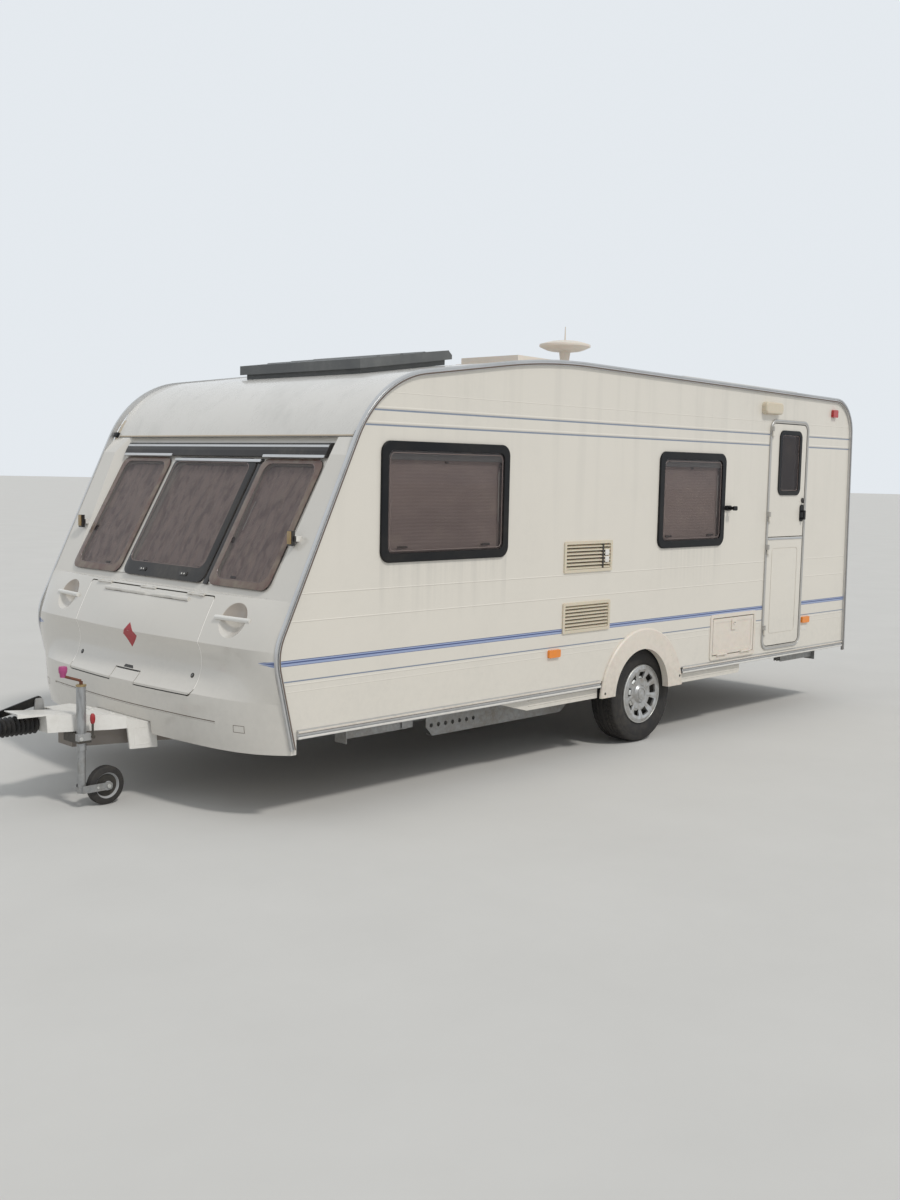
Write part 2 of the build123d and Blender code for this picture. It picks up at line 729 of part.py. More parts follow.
def on_rear_wall(piece):
    """Moves a piece made for the side wall onto the leaning rear wall."""
    mid = (REAR_WINDOW[2] + REAR_WINDOW[3]) / 2
    face = at_height(TAIL, REAR_FOOT, mid)[0] - SEAM
    lean = asin((TAIL[0] - REAR_FOOT[0]) / (TAIL[1] - REAR_FOOT[1])) * 180 / pi
    centred = Pos(0, -BODY_HALF, -mid) * piece
    return Pos(face, 0, mid) * Rot(0, lean, 0) * Rot(0, 0, 90) * centred


def window_frames():
    return on_all_walls(window_ring)


def window_panes():
    return on_all_walls(side_pane, PANE_T, BODY_HALF + 8) + front_panes()


def window_blinds():
    """Drawn blinds and curtains, one thin plate behind each pane."""
    blinds = on_all_walls(side_pane, BLIND_T, INSIDE_HALF + 6)
    for low_y, high_y in pane_spans():
        plate = glass_rect(low_y + 25, high_y - 25, 41, GLASS_LENGTH - 35, GLASS_CORNER - 31, -22, -18)
        blinds += plate
    return blinds


# Doors and flaps

def door_rect(inset_by, y_low, y_high):
    rect = (DOOR_X_FRONT, DOOR_X_REAR, DOOR_LOW, DOOR_HIGH)
    return side_rect(rect, y_low, y_high, DOOR_CORNER - inset_by, inset_by)


def hinge_x():
    return DOOR_X_FRONT - DOOR_RING + KNUCKLE_R


def knuckle(z_low, y_foot, foot_x, end_x):
    """Hinge barrel on the door's pin line, with a strap to end_x whose foot lies beyond foot_x."""
    pin = (hinge_x(), BODY_HALF + HINGE_PROUD)
    height = (z_low, z_low + KNUCKLE_LENGTH)
    over_frame = BODY_HALF + DOOR_FRAME_PROUD + 1
    barrel = Pos(pin[0], pin[1], z_low + KNUCKLE_LENGTH / 2) * Cylinder(KNUCKLE_R, KNUCKLE_LENGTH)
    strap = block(sorted((pin[0], end_x)), (over_frame, pin[1]), height)
    return barrel + strap + block(sorted((foot_x, end_x)), (y_foot, pin[1]), height)


def door_frame():
    """Frame round the entrance door with its inner stop and the fixed hinge barrels."""
    frame = door_rect(0, BODY_HALF, BODY_HALF + DOOR_FRAME_PROUD)
    frame += door_rect(DOOR_GAP + SEAM, INSIDE_HALF - 12, BODY_HALF)
    frame -= door_rect(DOOR_RING, INSIDE_HALF - 4, BODY_HALF + 60)
    frame -= door_rect(DOOR_RING + DOOR_LIP, INSIDE_HALF - 60, BODY_HALF + 60)
    for z_low in KNUCKLE_HEIGHTS_LOW + KNUCKLE_HEIGHTS_HIGH:
        z_fixed = z_low + KNUCKLE_LENGTH + PIN_GAP
        frame += knuckle(z_fixed, BODY_HALF + DOOR_FRAME_PROUD - 1, hinge_x(), DOOR_X_FRONT - 2)
    return frame


def door_leaf(z_low, z_high, knuckles):
    leaf = door_rect(DOOR_RING + DOOR_GAP, DOOR_FACE - DOOR_T, DOOR_FACE)
    leaf &= block((-3000, 0), (0, 2000), (z_low, z_high))
    edge = DOOR_X_FRONT - DOOR_RING - DOOR_GAP
    for height in knuckles:
        leaf += knuckle(height, DOOR_FACE - 1, edge, edge - 20)
    return leaf


def door_lower_leaf():
    leaf = door_leaf(DOOR_LOW, DOOR_SPLIT - DOOR_GAP / 2, KNUCKLE_HEIGHTS_LOW)
    panel = (DOOR_X_FRONT - 90, DOOR_X_REAR + 90, DOOR_LOW + 110, DOOR_SPLIT - 80)
    groove = side_rect(panel, DOOR_FACE - 3, DOOR_FACE + 1, 30)
    return leaf - (groove - side_rect(panel, DOOR_FACE - 4, DOOR_FACE + 2, 22, 8))


def door_upper_leaf():
    leaf = door_leaf(DOOR_SPLIT + DOOR_GAP / 2, DOOR_HIGH, KNUCKLE_HEIGHTS_HIGH)
    return leaf - side_rect(DOOR_WINDOW, DOOR_FACE - DOOR_T - 1, DOOR_FACE + 1, 40, 14)


def door_window():
    """Black frame and pane in the upper leaf."""
    flange = side_rect(DOOR_WINDOW, DOOR_FACE, DOOR_FACE + 8, 54)
    sleeve = side_rect(DOOR_WINDOW, DOOR_FACE - DOOR_T, DOOR_FACE, 40, 14 + SEAM)
    opening = side_rect(DOOR_WINDOW, DOOR_FACE - DOOR_T - 1, DOOR_FACE + 9, 24, 30)
    return flange + sleeve - opening


def door_pane():
    return side_rect(DOOR_WINDOW, DOOR_FACE - 8, DOOR_FACE + 2, 24, 30 + SEAM)


def door_handle():
    """Black pull handle on a round-ended plate, on the upper leaf."""
    x, z = DOOR_HANDLE
    plate = side_rect((x + 24, x - 24, z - 62, z + 62), DOOR_FACE, DOOR_FACE + 8, 23)
    grip = side_rect((x + 11, x - 11, z - 48, z + 20), DOOR_FACE + 8, DOOR_FACE + 34, 10)
    return plate + grip - side_rect((x + 14, x - 14, z - 34, z + 6), DOOR_FACE + 8, DOOR_FACE + 24, 8)


def door_catch():
    """Hook on the wall that holds the open door."""
    x, z = DOOR_CATCH
    base = side_rect((x + 33, x - 33, z - 17, z + 17), BODY_HALF, BODY_HALF + 12, 8)
    arm = side_rect((x + 11, x - 11, z - 11, z + 11), BODY_HALF + 12, BODY_HALF + 66, 8)
    return base + arm + side_rect((x + 22, x - 22, z - 15, z + 15), BODY_HALF + 54, BODY_HALF + 66, 10)


def flap_rect(inset_by, y_low, y_high):
    rect = (FLAP_X_FRONT, FLAP_X_REAR, FLAP_LOW, FLAP_HIGH)
    return side_rect(rect, y_low, y_high, max(FLAP_CORNER - inset_by, 6), inset_by)


def service_locker_frame():
    frame = flap_rect(0, BODY_HALF, BODY_HALF + 7) + flap_rect(4 + SEAM, INSIDE_HALF, BODY_HALF)
    frame -= flap_rect(FLAP_RING, INSIDE_HALF - 1, BODY_HALF + 8)
    step = FLAP_PIN_HALF * 3 / 2 + PIN_GAP
    for offset in (-step, step):
        frame += flap_barrels(offset, FLAP_PIN_HALF / 2, BODY_HALF + 6, FLAP_LOW + FLAP_RING - 4)
    return frame


def flap_barrels(offset, half, y_foot, z_foot):
    """Hinge barrels on the flap's pin line, each with a strap back to y_foot and z_foot."""
    pin_y, pin_z = BODY_HALF + FLAP_PIN_PROUD, FLAP_LOW + FLAP_RING + DOOR_GAP
    mid = (FLAP_X_FRONT + FLAP_X_REAR) / 2
    barrels = Part()
    for x in (mid - FLAP_PIN_OUT, mid + FLAP_PIN_OUT):
        low, high = x + offset - half, x + offset + half
        barrels += rod((low, pin_y, pin_z), (high, pin_y, pin_z), FLAP_PIN_R)
        barrels += block((low, high), (y_foot, pin_y), sorted((pin_z, z_foot)))
    return barrels


def service_locker_door():
    """Flap with a shallow recess and a lock tab that hangs into it from the top."""
    face = BODY_HALF + 6
    edge = FLAP_RING + DOOR_GAP
    flap = flap_rect(edge, BODY_HALF - 22, face)
    flap -= flap_rect(edge + 26, face - FLAP_RECESS, face + 1)
    mid = (FLAP_X_FRONT + FLAP_X_REAR) / 2
    half, height = FLAP_LOCK
    top = FLAP_HIGH - edge - 6
    lock = side_rect((mid + half, mid - half, top - height, top), face - FLAP_RECESS, face + 5, 10)
    lock += across_cylinder(mid, top - 30, 15, face + 5, face + 9)
    pin_z = FLAP_LOW + FLAP_RING + DOOR_GAP
    return flap + lock + flap_barrels(0, FLAP_PIN_HALF, face - FLAP_RECESS - 2, pin_z + FLAP_PIN_R)


def louvred_vent(rect):
    """Ivory vent: a pocket behind a row of sloping slats."""
    x_front, x_rear, z_low, z_high = rect
    outer = side_rect(rect, BODY_HALF, BODY_HALF + VENT_PROUD, 10)
    sleeve = side_rect(rect, BODY_HALF - 20, BODY_HALF, 4, 10 + SEAM)
    pocket = side_rect(rect, BODY_HALF - 15, BODY_HALF + VENT_PROUD + 1, 4, 18)
    vent = outer + sleeve - pocket
    height = (z_high - z_low - 36) / VENT_SLATS
    for index in range(VENT_SLATS):
        low = z_low + 18 + height * index
        section = Polyline(
            (BODY_HALF - 16, low + height * 0.55), (BODY_HALF + 5, low + height * 0.1),
            (BODY_HALF + 5, low + height * 0.42), (BODY_HALF - 16, low + height * 0.87), close=True,
        )
        plane = Plane(origin=(x_rear + 17, 0, 0), x_dir=(0, 1, 0), z_dir=(1, 0, 0))
        vent += extrude(plane * make_face(section), amount=x_front - x_rear - 34, dir=(1, 0, 0))
    return vent


def fridge_vents():
    vents = Part()
    for rect in VENTS:
        vents += louvred_vent(rect)
    return vents


def service_hatches():
    """Closed hatches on the far side."""
    hatches = Part()
    for rect in FAR_HATCHES:
        hatch = side_rect(rect, BODY_HALF, BODY_HALF + HATCH_PROUD, 20)
        hatch += side_rect(rect, BODY_HALF - 20, BODY_HALF, 10, 10 + SEAM)
        hatch -= side_rect(rect, BODY_HALF + 5, BODY_HALF + 20, 12, 26) - side_rect(rect, 0, 2000, 6, 36)
        hatches += mirror(hatch, about=Plane.XZ)
    return hatches


# Rails, skirts and arches

def awning_rails():
    """Awning rails that follow the edge of each side wall, with a groove for the awning's bead."""
    front = at_height(FRONT_FOOT, CHIN, RAIL_FRONT_LOW)
    rear = at_height(TAIL, REAR_FOOT, RAIL_REAR_LOW)
    line = inset([front, CHIN, BROW, PEAK, TAIL, rear], -4, closed=False)
    rail = band(line, RAIL_W, BODY_HALF + SEAM, BODY_HALF + RAIL_PROUD)
    groove = band(inset(line, 9, closed=False), 8, BODY_HALF + RAIL_PROUD - 8, BODY_HALF + RAIL_PROUD + 1)
    return both_sides(rail - groove)


def skirt_rails():
    """Long rails along the foot of each side wall, broken at the wheels."""
    rails = Part()
    ends = [(SILL_REAR, ARCH_OUT_X - ARCH_OUT_R - 2), (ARCH_OUT_X + ARCH_OUT_R + 2, SILL_FRONT)]
    for rear, front in ends:
        section = [
            (BODY_HALF + SEAM, SILL_HIGH), (BODY_HALF + SILL_PROUD, SILL_HIGH - 6),
            (BODY_HALF + SILL_PROUD, SILL_HIGH - 16), (BODY_HALF + 8, SILL_HIGH - 19),
            (BODY_HALF + 8, SILL_LOW + 16), (BODY_HALF + SILL_PROUD, SILL_LOW + 13),
            (BODY_HALF + SILL_PROUD, SILL_LOW), (BODY_HALF - 16, SILL_LOW),
            (BODY_HALF - 16, FLOOR_LOW - SEAM), (BODY_HALF + SEAM, FLOOR_LOW - SEAM),
        ]
        plane = Plane(origin=(rear, 0, 0), x_dir=(0, 1, 0), z_dir=(1, 0, 0))
        face = plane * make_face(Polyline(*section, close=True))
        rails += extrude(face, amount=front - rear, dir=(1, 0, 0))
    return both_sides(rails)


def skirt_panels():
    """Thin panels that hang below the foot rails ahead of and behind each wheel."""
    inner, outer = BODY_HALF - 16 - SKIRT_T, BODY_HALF - 16
    top = SILL_LOW + 30
    ahead = [(ARCH_OUT_X + ARCH_OUT_R + 2, SKIRT_LOW, 0), (1180, SKIRT_LOW, 60), (1425, SILL_LOW - 4, 0),
             (1425, top, 0), (ARCH_OUT_X + ARCH_OUT_R + 2, top, 0)]
    behind = [(-1100, SKIRT_LOW, 20), (ARCH_OUT_X - ARCH_OUT_R - 2, SKIRT_LOW, 0),
              (ARCH_OUT_X - ARCH_OUT_R - 2, top, 0), (-1100, top, 0)]
    panels = side_prism(ahead, inner, outer - SEAM) + side_prism(behind, inner, outer - SEAM)
    return both_sides(panels)


def wheel_arch_trims():
    """Cream half rings round the wheels, with a lip that turns into the arch."""
    y_low, y_high = BODY_HALF + SEAM, BODY_HALF + ARCH_PROUD
    ring = across_cylinder(ARCH_OUT_X, ARCH_OUT_Z, ARCH_OUT_R, y_low, y_high)
    ring = chamfer(ring.edges().group_by(Axis.Y)[-1], 8)
    ring += across_cylinder(ARCH_X, ARCH_Z, ARCH_R + ARCH_LAP - SEAM, INSIDE_HALF + SEAM, y_low + 1)
    ring -= across_cylinder(ARCH_X, ARCH_Z, ARCH_R, 0, y_high + 1)
    ring &= block((-2000, 2000), (0, 2000), (ARCH_FOOT, 2000))
    return both_sides(ring)


# Chassis

def chassis_member():
    """One pressed side member: deep ahead of the axle, shallow behind it."""
    top = FLOOR_LOW - SEAM
    corners = [
        (MEMBER_FRONT, top, 0), (MEMBER_REAR, top, 0), (MEMBER_REAR, SHALLOW_LOW + 40, 0),
        (-1500, SHALLOW_LOW, 40), (AXLE_X + 130, SHALLOW_LOW, 0), (AXLE_X + 330, DEEP_LOW, 60),
        (MEMBER_FRONT - MEMBER_CHAMFER, DEEP_LOW, 0), (MEMBER_FRONT, DEEP_LOW + MEMBER_CHAMFER, 0),
    ]
    web = side_prism(corners, MEMBER_Y - MEMBER_T, MEMBER_Y)
    for index in range(HOLES):
        x = HOLE_FIRST - HOLE_PITCH * index
        web -= across_cylinder(x, HOLE_ROW_Z, HOLE_R, MEMBER_Y - 50, MEMBER_Y + 50)
    folded = (MEMBER_Y - FLANGE_W, MEMBER_Y)
    flange = block((MEMBER_REAR, MEMBER_FRONT), folded, (top - MEMBER_T, top))
    foot = block((AXLE_X + 330, MEMBER_FRONT - MEMBER_CHAMFER), folded, (DEEP_LOW, DEEP_LOW + MEMBER_T))
    return web + flange + foot


def drawbar():
    """One leg of the A-frame in plan, from the side member to the neck."""
    (rear_x, rear_y), (nose_x, nose_y) = DRAWBAR_REAR, DRAWBAR_NOSE
    half = DRAWBAR_W / 2
    corners = [
        (rear_x, rear_y - half, 0), (nose_x, nose_y - half, 0), (nose_x, nose_y + half, 0),
        (rear_x, rear_y + half, 0),
    ]
    return plan_prism(corners, DRAWBAR_LOW, DRAWBAR_HIGH)


def chassis_frame():
    """Side members, A-frame and cross members in one welded frame."""
    frame = chassis_member() + drawbar()
    for x in CROSS_X:
        frame += block((x - 20, x + 20), (0, MEMBER_Y - 1), (DRAWBAR_HIGH - 2, FLOOR_LOW - MEMBER_T))
    nose_x, nose_y = DRAWBAR_NOSE
    return both_sides(frame) + block((NECK_REAR, nose_x), (-nose_y, nose_y), (DRAWBAR_LOW, DRAWBAR_HIGH))


def axle_beam():
    """Axle tube with trailing arms, backplates and stubs, held by two brackets."""
    inner = TRACK_HALF - TYRE_W / 2 - 20
    beam = across_cylinder(AXLE_X, AXLE_Z, AXLE_R, -inner + ARM_T, inner - ARM_T)
    arm = [
        (AXLE_X + 40, AXLE_Z - 40, 30), (AXLE_X + 40, AXLE_Z + 40, 30), (-42, HUB_Z + 42, 30),
        (-42, HUB_Z - 42, 30),
    ]
    half = side_prism(arm, inner - ARM_T - 1, inner)
    half += across_cylinder(0, HUB_Z, DRUM_R, inner, inner + 6)
    half += across_cylinder(0, HUB_Z, STUB_R, inner, TRACK_HALF + 40)
    beside = (MEMBER_Y + SEAM, MEMBER_Y + 12)
    half += block((AXLE_X - 70, AXLE_X + 70), beside, (AXLE_Z - 20, SHALLOW_LOW + 40))
    return beam + both_sides(half)


# Wheels, made on the door side

def turned(profile, centre):
    """Solid of revolution about the wheel's axis. Columns: radius, y from the wheel's middle."""
    points = [(radius, y) for radius, y, corner in profile]
    path = FilletPolyline(*points, radius=[row[2] for row in profile], close=True)
    ring = revolve(make_face(path), axis=Axis.Y)
    return Pos(*centre) * ring


def wheel_centre():
    return 0, TRACK_HALF, HUB_Z


def tyre():
    half, bead = TYRE_W / 2, RIM_W / 2
    profile = [
        (RIM_R + 3, SEAM - bead, 0), (RIM_R + 18, SEAM - bead, 0), (RIM_R + 60, -half, 24),
        (TYRE_R - 34, -half + 2, 20), (TYRE_R, -half + 30, 14), (TYRE_R, half - 30, 14),
        (TYRE_R - 34, half - 2, 20), (RIM_R + 60, half, 24), (RIM_R + 18, bead - SEAM, 0),
        (RIM_R + 3, bead - SEAM, 0),
    ]
    return turned(profile, wheel_centre())


def rim():
    """Steel rim with its disc, brake drum and hub round the stub."""
    half = RIM_W / 2
    barrel = [
        (RIM_R + 12, -half - 5, 2), (RIM_R + 12, -half, 2), (RIM_R + 3 - SEAM, -half, 0),
        (RIM_R + 3 - SEAM, half, 0), (RIM_R + 12, half, 2), (RIM_R + 12, half + 5, 2),
        (RIM_R - 8, half + 5, 2), (RIM_R - 26, half - 34, 0), (RIM_R - 26, -half + 20, 0),
        (RIM_R - 8, -half - 5, 2),
    ]
    wheel = turned(barrel, wheel_centre())
    bore = STUB_R + STUB_FIT
    disc = [
        (bore, -64, 0), (DRUM_R, -64, 6), (DRUM_R, -12, 6), (RIM_R - 20, 8, 0), (RIM_R - 20, 20, 0),
        (DRUM_R, 16, 0), (HUB_R + 24, 6, 0), (HUB_R, 46, 6), (bore, 46, 0),
    ]
    return wheel + turned(disc, wheel_centre())


def wheel_trim():
    """Silver cover with nine openings round a domed cap."""
    half = RIM_W / 2 + 5
    profile = [
        (0, half - 14, 0), (60, half - 14, 0), (124, half - 8, 0), (RIM_R - 12, half + SEAM, 0),
        (TRIM_R, half + SEAM, 0), (TRIM_R, half + 8, 3), (RIM_R - 14, half + 16, 8), (112, half - 1, 20),
        (54, half - 4, 10), (50, half + 9, 8), (0, half + 14, 0),
    ]
    trim = turned(profile, (0, 0, 0))
    slot = [(-22, 100, 7), (22, 100, 7), (32, 146, 9), (-32, 146, 9)]
    for index in range(TRIM_HOLES):
        cut = extrude(side_plane(200) * face_of(slot), amount=250, dir=(0, -1, 0))
        trim -= Rot(0, index * 360 / TRIM_HOLES, 0) * cut
    return Pos(*wheel_centre()) * trim


# Coupling, cover and jockey wheel

def coupling_head():
    """Neck, socket and hand lever of the ball coupling."""
    neck = rod((NECK_REAR, 0, NECK_Z), (NECK_FRONT, 0, NECK_Z), NECK_R)
    top = BALL_Z + SOCKET_R + SOCKET_WALL
    body = loft([
        Plane(origin=(NECK_FRONT - 60, 0, NECK_Z), z_dir=(1, 0, 0)) * Circle(NECK_R + 6),
        Plane(origin=(BALL_X - 34, 0, BALL_Z + 12), z_dir=(1, 0, 0)) * Circle(SOCKET_R + SOCKET_WALL),
    ], ruled=True)
    height = top - SOCKET_LOW
    cup = Pos(BALL_X, 0, SOCKET_LOW + height / 2) * Cylinder(SOCKET_R + SOCKET_WALL, height)
    cup = fillet(cup.edges().group_by(Axis.Z)[-1], 10)
    nose = NOSE_X - BALL_X
    lip = Pos(BALL_X, 0, SOCKET_LOW + 9) * Cylinder(nose, 18) & block((BALL_X, 5000), (-40, 40), (0, 1000))
    head = neck + body + cup + lip
    head -= Pos(BALL_X, 0, (SOCKET_LOW + BALL_Z) / 2 - 5) * Cylinder(SOCKET_R, BALL_Z - SOCKET_LOW + 10)
    head -= Pos(BALL_X, 0, BALL_Z) * Sphere(SOCKET_R)
    lever = [
        (BALL_X - 10, top - 8, 0), (BALL_X + 20, top + 26, 12), (BALL_X - 150, top + 60, 30),
        (BALL_X - LEVER_LENGTH, top + 62, 8), (BALL_X - LEVER_LENGTH, top + 42, 8), (BALL_X - 60, top - 8, 0),
    ]
    return head + side_prism(lever, -13, 13) + handbrake_bracket()


def coupling_bellows():
    """Pleated rubber sleeve round the neck, between the cover and the socket."""
    start, end = TONGUE_X + SEAM, NECK_FRONT - 62
    pitch = (end - start) / BELLOWS_FOLDS
    line = [(start, NECK_R + SEAM)]
    for index in range(BELLOWS_FOLDS):
        line += [(start + pitch * index, NECK_R + 8), (start + pitch * (index + 0.5), BELLOWS_R)]
    line += [(end, NECK_R + 8), (end, NECK_R + SEAM)]
    ring = revolve(make_face(Polyline(*line, close=True)), axis=Axis.X)
    return Pos(0, 0, NECK_Z) * ring


def handbrake_lever():
    """Long lever with a grip beside the neck, which slopes down to the front."""
    outline = [
        (-24, -22, 20), (24, -22, 20), (BRAKE_LENGTH, -13, 10), (BRAKE_LENGTH, 13, 10), (24, 22, 20),
        (-24, 22, 20),
    ]
    lever = side_prism(outline, BRAKE_Y - 5, BRAKE_Y + 5)
    lever += rod((BRAKE_LENGTH - BRAKE_GRIP, BRAKE_Y, 0), (BRAKE_LENGTH + 10, BRAKE_Y, 0), 15)
    lever -= across_cylinder(0, 0, BRAKE_PIN_R + STUB_FIT, BRAKE_Y - 20, BRAKE_Y + 20)
    return Pos(BRAKE_X, 0, BRAKE_Z) * Rot(0, BRAKE_SLOPE, 0) * lever


def handbrake_bracket():
    """Angle that stands on the neck and carries the hand brake lever's pin."""
    plate = [
        (BRAKE_X - 34, NECK_Z + 8, 0), (BRAKE_X + 34, NECK_Z + 8, 0), (BRAKE_X + 20, BRAKE_Z + 14, 12),
        (BRAKE_X - 20, BRAKE_Z + 14, 12),
    ]
    inner = BRAKE_Y + 11
    foot = block((BRAKE_X - 34, BRAKE_X + 34), (inner, 0), (NECK_Z + 8, NECK_Z + 18))
    pin = across_cylinder(BRAKE_X, BRAKE_Z, BRAKE_PIN_R, BRAKE_Y - 9, inner + 1)
    return side_prism(plate, inner, inner + 10) + foot + pin


def cover_body(shrink):
    """Tapered body of the hitch cover, drawn inward by shrink."""
    sections = []
    for x, half, z_low, z_high in COVER_ROWS:
        plane = Plane(origin=(x, 0, 0), x_dir=(0, 1, 0), z_dir=(1, 0, 0))
        low = z_low - (40 if shrink else 0)
        foot, top = half - shrink, half - shrink - COVER_SLANT
        corners = [(-foot, low), (foot, low), (top, z_high - shrink), (-top, z_high - shrink)]
        sections.append(plane * make_face(Polyline(*corners, close=True)))
    return loft(sections, ruled=True)


def hitch_cover():
    """Sloping cover over the A-frame, closed round the neck and with a tongue over the bellows."""
    body = cover_body(0)
    across = (-TOE_HALF, TOE_HALF)
    plate = body & block((TONGUE_X - COVER_T, TONGUE_X), across, (0, CLEAR_Z))
    plate -= rod((TONGUE_X - 2 * COVER_T, 0, NECK_Z), (TONGUE_X + COVER_T, 0, NECK_Z), NECK_R + SEAM)
    cover = body - cover_body(COVER_T) + plate
    cover -= block((TONGUE_X, CLEAR_X), across, (0, TONGUE_LOW))
    slot = block((BRAKE_X - 60, CLEAR_X), (BRAKE_Y - 24, BRAKE_Y + 40), (NECK_Z + 26, CLEAR_Z))
    return cover - slot


def jockey_tube():
    """Outer tube with its crank, held to the drawbar by a clamp."""
    axis = (JOCKEY_X, JOCKEY_Y)
    height = JOCKEY_TUBE_HIGH - JOCKEY_TUBE_LOW
    tube = Pos(*axis, JOCKEY_TUBE_LOW + height / 2) * Cylinder(JOCKEY_TUBE_R, height)
    bore = JOCKEY_TUBE_HIGH - 12 - JOCKEY_TUBE_LOW
    tube -= Pos(*axis, JOCKEY_TUBE_LOW + bore / 2 - 1) * Cylinder(JOCKEY_TUBE_BORE, bore + 2)
    tube += Pos(*axis, JOCKEY_TUBE_HIGH + 8) * Cylinder(9, 18)
    knob_x, knob_y = JOCKEY_X + 60, JOCKEY_Y - 70
    tube += rod((*axis, CRANK_Z), (knob_x, knob_y, CRANK_Z + 20), 7)
    return tube + rod((knob_x, knob_y, CRANK_Z + 14), (knob_x, knob_y, CRANK_Z + 68), 13)


def jockey_clamp():
    """Split clamp round the jockey tube with its red locking lever."""
    z_low, z_high = CLAMP_Z - 23, CLAMP_Z + 23
    x_rear = JOCKEY_X - 36
    slope = (DRAWBAR_REAR[1] - DRAWBAR_NOSE[1]) / (DRAWBAR_NOSE[0] - DRAWBAR_REAR[0])
    beside_drawbar = DRAWBAR_NOSE[1] + DRAWBAR_W / 2 + (DRAWBAR_NOSE[0] - x_rear) * slope + SEAM
    block_part = block((x_rear, JOCKEY_X + 36), (beside_drawbar, JOCKEY_Y + 34), (z_low, z_high))
    height = (z_high - z_low)
    hole = Pos(JOCKEY_X, JOCKEY_Y, z_low + height / 2) * Cylinder(JOCKEY_TUBE_R + SEAM, height + 2)
    lever = rod((JOCKEY_X - 40, JOCKEY_Y + 40, z_high - 10), (JOCKEY_X - 40, JOCKEY_Y + 40, z_high + 96), 6)
    pivot = rod((JOCKEY_X - 40, JOCKEY_Y + 20, z_high - 16), (JOCKEY_X - 40, JOCKEY_Y + 52, z_high - 16), 8)
    return block_part - hole + lever + pivot


def jockey_leg():
    """Inner tube that slides in the outer one."""
    low = JOCKEY_WHEEL_R + 8
    height = JOCKEY_LEG_TOP - low
    return Pos(JOCKEY_X, JOCKEY_Y, low + height / 2) * Cylinder(JOCKEY_LEG_R, height)


def jockey_fork():
    """Trailing fork that swivels under the leg."""
    x_wheel = JOCKEY_X - JOCKEY_TRAIL
    half = JOCKEY_WHEEL_W / 2 + FORK_GAP
    z = JOCKEY_WHEEL_R
    boss = Pos(JOCKEY_X, JOCKEY_Y, z - 6) * Cylinder(JOCKEY_LEG_R + 3, 28)
    outside = half + FORK_T
    yoke = block((JOCKEY_X - 20, JOCKEY_X + 14), (JOCKEY_Y - outside, JOCKEY_Y + outside), (z - 18, z + 6))
    fork = boss + yoke
    for side in (-1, 1):
        y_mid = JOCKEY_Y + side * (half + FORK_T / 2)
        arm = [
            (x_wheel - 22, z - FORK_RISE, 14), (JOCKEY_X + 14, z - FORK_RISE, 6),
            (JOCKEY_X + 14, z + FORK_RISE, 6), (x_wheel - 22, z + FORK_RISE, 14),
        ]
        fork += side_prism(arm, y_mid - FORK_T / 2, y_mid + FORK_T / 2)
    return fork + across_cylinder(x_wheel, z, JOCKEY_AXLE_R, JOCKEY_Y - half - 1, JOCKEY_Y + half + 1)


def jockey_wheel():
    half = JOCKEY_WHEEL_W / 2
    bore = JOCKEY_AXLE_R + STUB_FIT
    profile = [
        (bore, -half - 4, 0), (24, -half - 4, 0), (28, -half + 14, 3), (58, -half + 14, 4), (66, -half, 5),
        (JOCKEY_WHEEL_R, -half + 6, 10), (JOCKEY_WHEEL_R, half - 6, 10), (66, half, 5), (58, half - 14, 4),
        (28, half - 14, 3), (24, half + 4, 0), (bore, half + 4, 0),
    ]
    return turned(profile, (JOCKEY_X - JOCKEY_TRAIL, JOCKEY_Y, JOCKEY_WHEEL_R))


# Corner steadies

def steady_leg(pivot_x, side, way):
    """Folded leg: a channel from its pivot pin to the foot plate."""
    y = side * STEADY_Y
    half = STEADY_W / 2 - 8
    tip = pivot_x + way * STEADY_ARM
    low = STEADY_PIVOT_Z - 24
    leg = block(sorted((pivot_x + way * 20, tip)), (y - half, y + half), (low, low + STEADY_T))
    for edge in (-1, 1):
        y_edge = sorted((y + edge * half, y + edge * (half - STEADY_T)))
        leg += block(sorted((pivot_x - way * 14, tip)), y_edge, (low, STEADY_PIVOT_Z + 14))
    leg -= across_cylinder(pivot_x, STEADY_PIVOT_Z, STEADY_PIN_R + STUB_FIT, y - 60, y + 60)
    foot = block(sorted((tip - way * 6, tip)), (y - 44, y + 44), (STEADY_PIVOT_Z - 44, STEADY_PIVOT_Z + 30))
    return leg + foot


def steady_bracket(pivot_x, side, way):
    """Bracket under the floor with the pivot pin and the screw's end."""
    y = side * STEADY_Y
    half = STEADY_W / 2
    top = FLOOR_LOW - SEAM
    ends = sorted((pivot_x - way * 60, pivot_x + way * (STEADY_ARM - 60)))
    bracket = block(ends, (y - half, y + half), (top - 10, top))
    for edge in (-1, 1):
        y_edge = sorted((y + edge * half, y + edge * (half - 5)))
        bracket += block((pivot_x - 40, pivot_x + 40), y_edge, (STEADY_PIVOT_Z - 20, top))
    bracket += across_cylinder(pivot_x, STEADY_PIVOT_Z, STEADY_PIN_R, y - half, y + half)
    end_x = pivot_x + way * (STEADY_ARM - 90)
    bracket += block(sorted((end_x, end_x + way * 12)), (y - half, y + half), (top - 62, top))
    return bracket + rod((end_x - way * 240, y, top - 40), (end_x + way * 70, y, top - 40), 9)


def steady_brackets():
    brackets = Part()
    for name, pivot_x, side, way in STEADIES:
        brackets += steady_bracket(pivot_x, side, way)
    return brackets


# Roof fittings

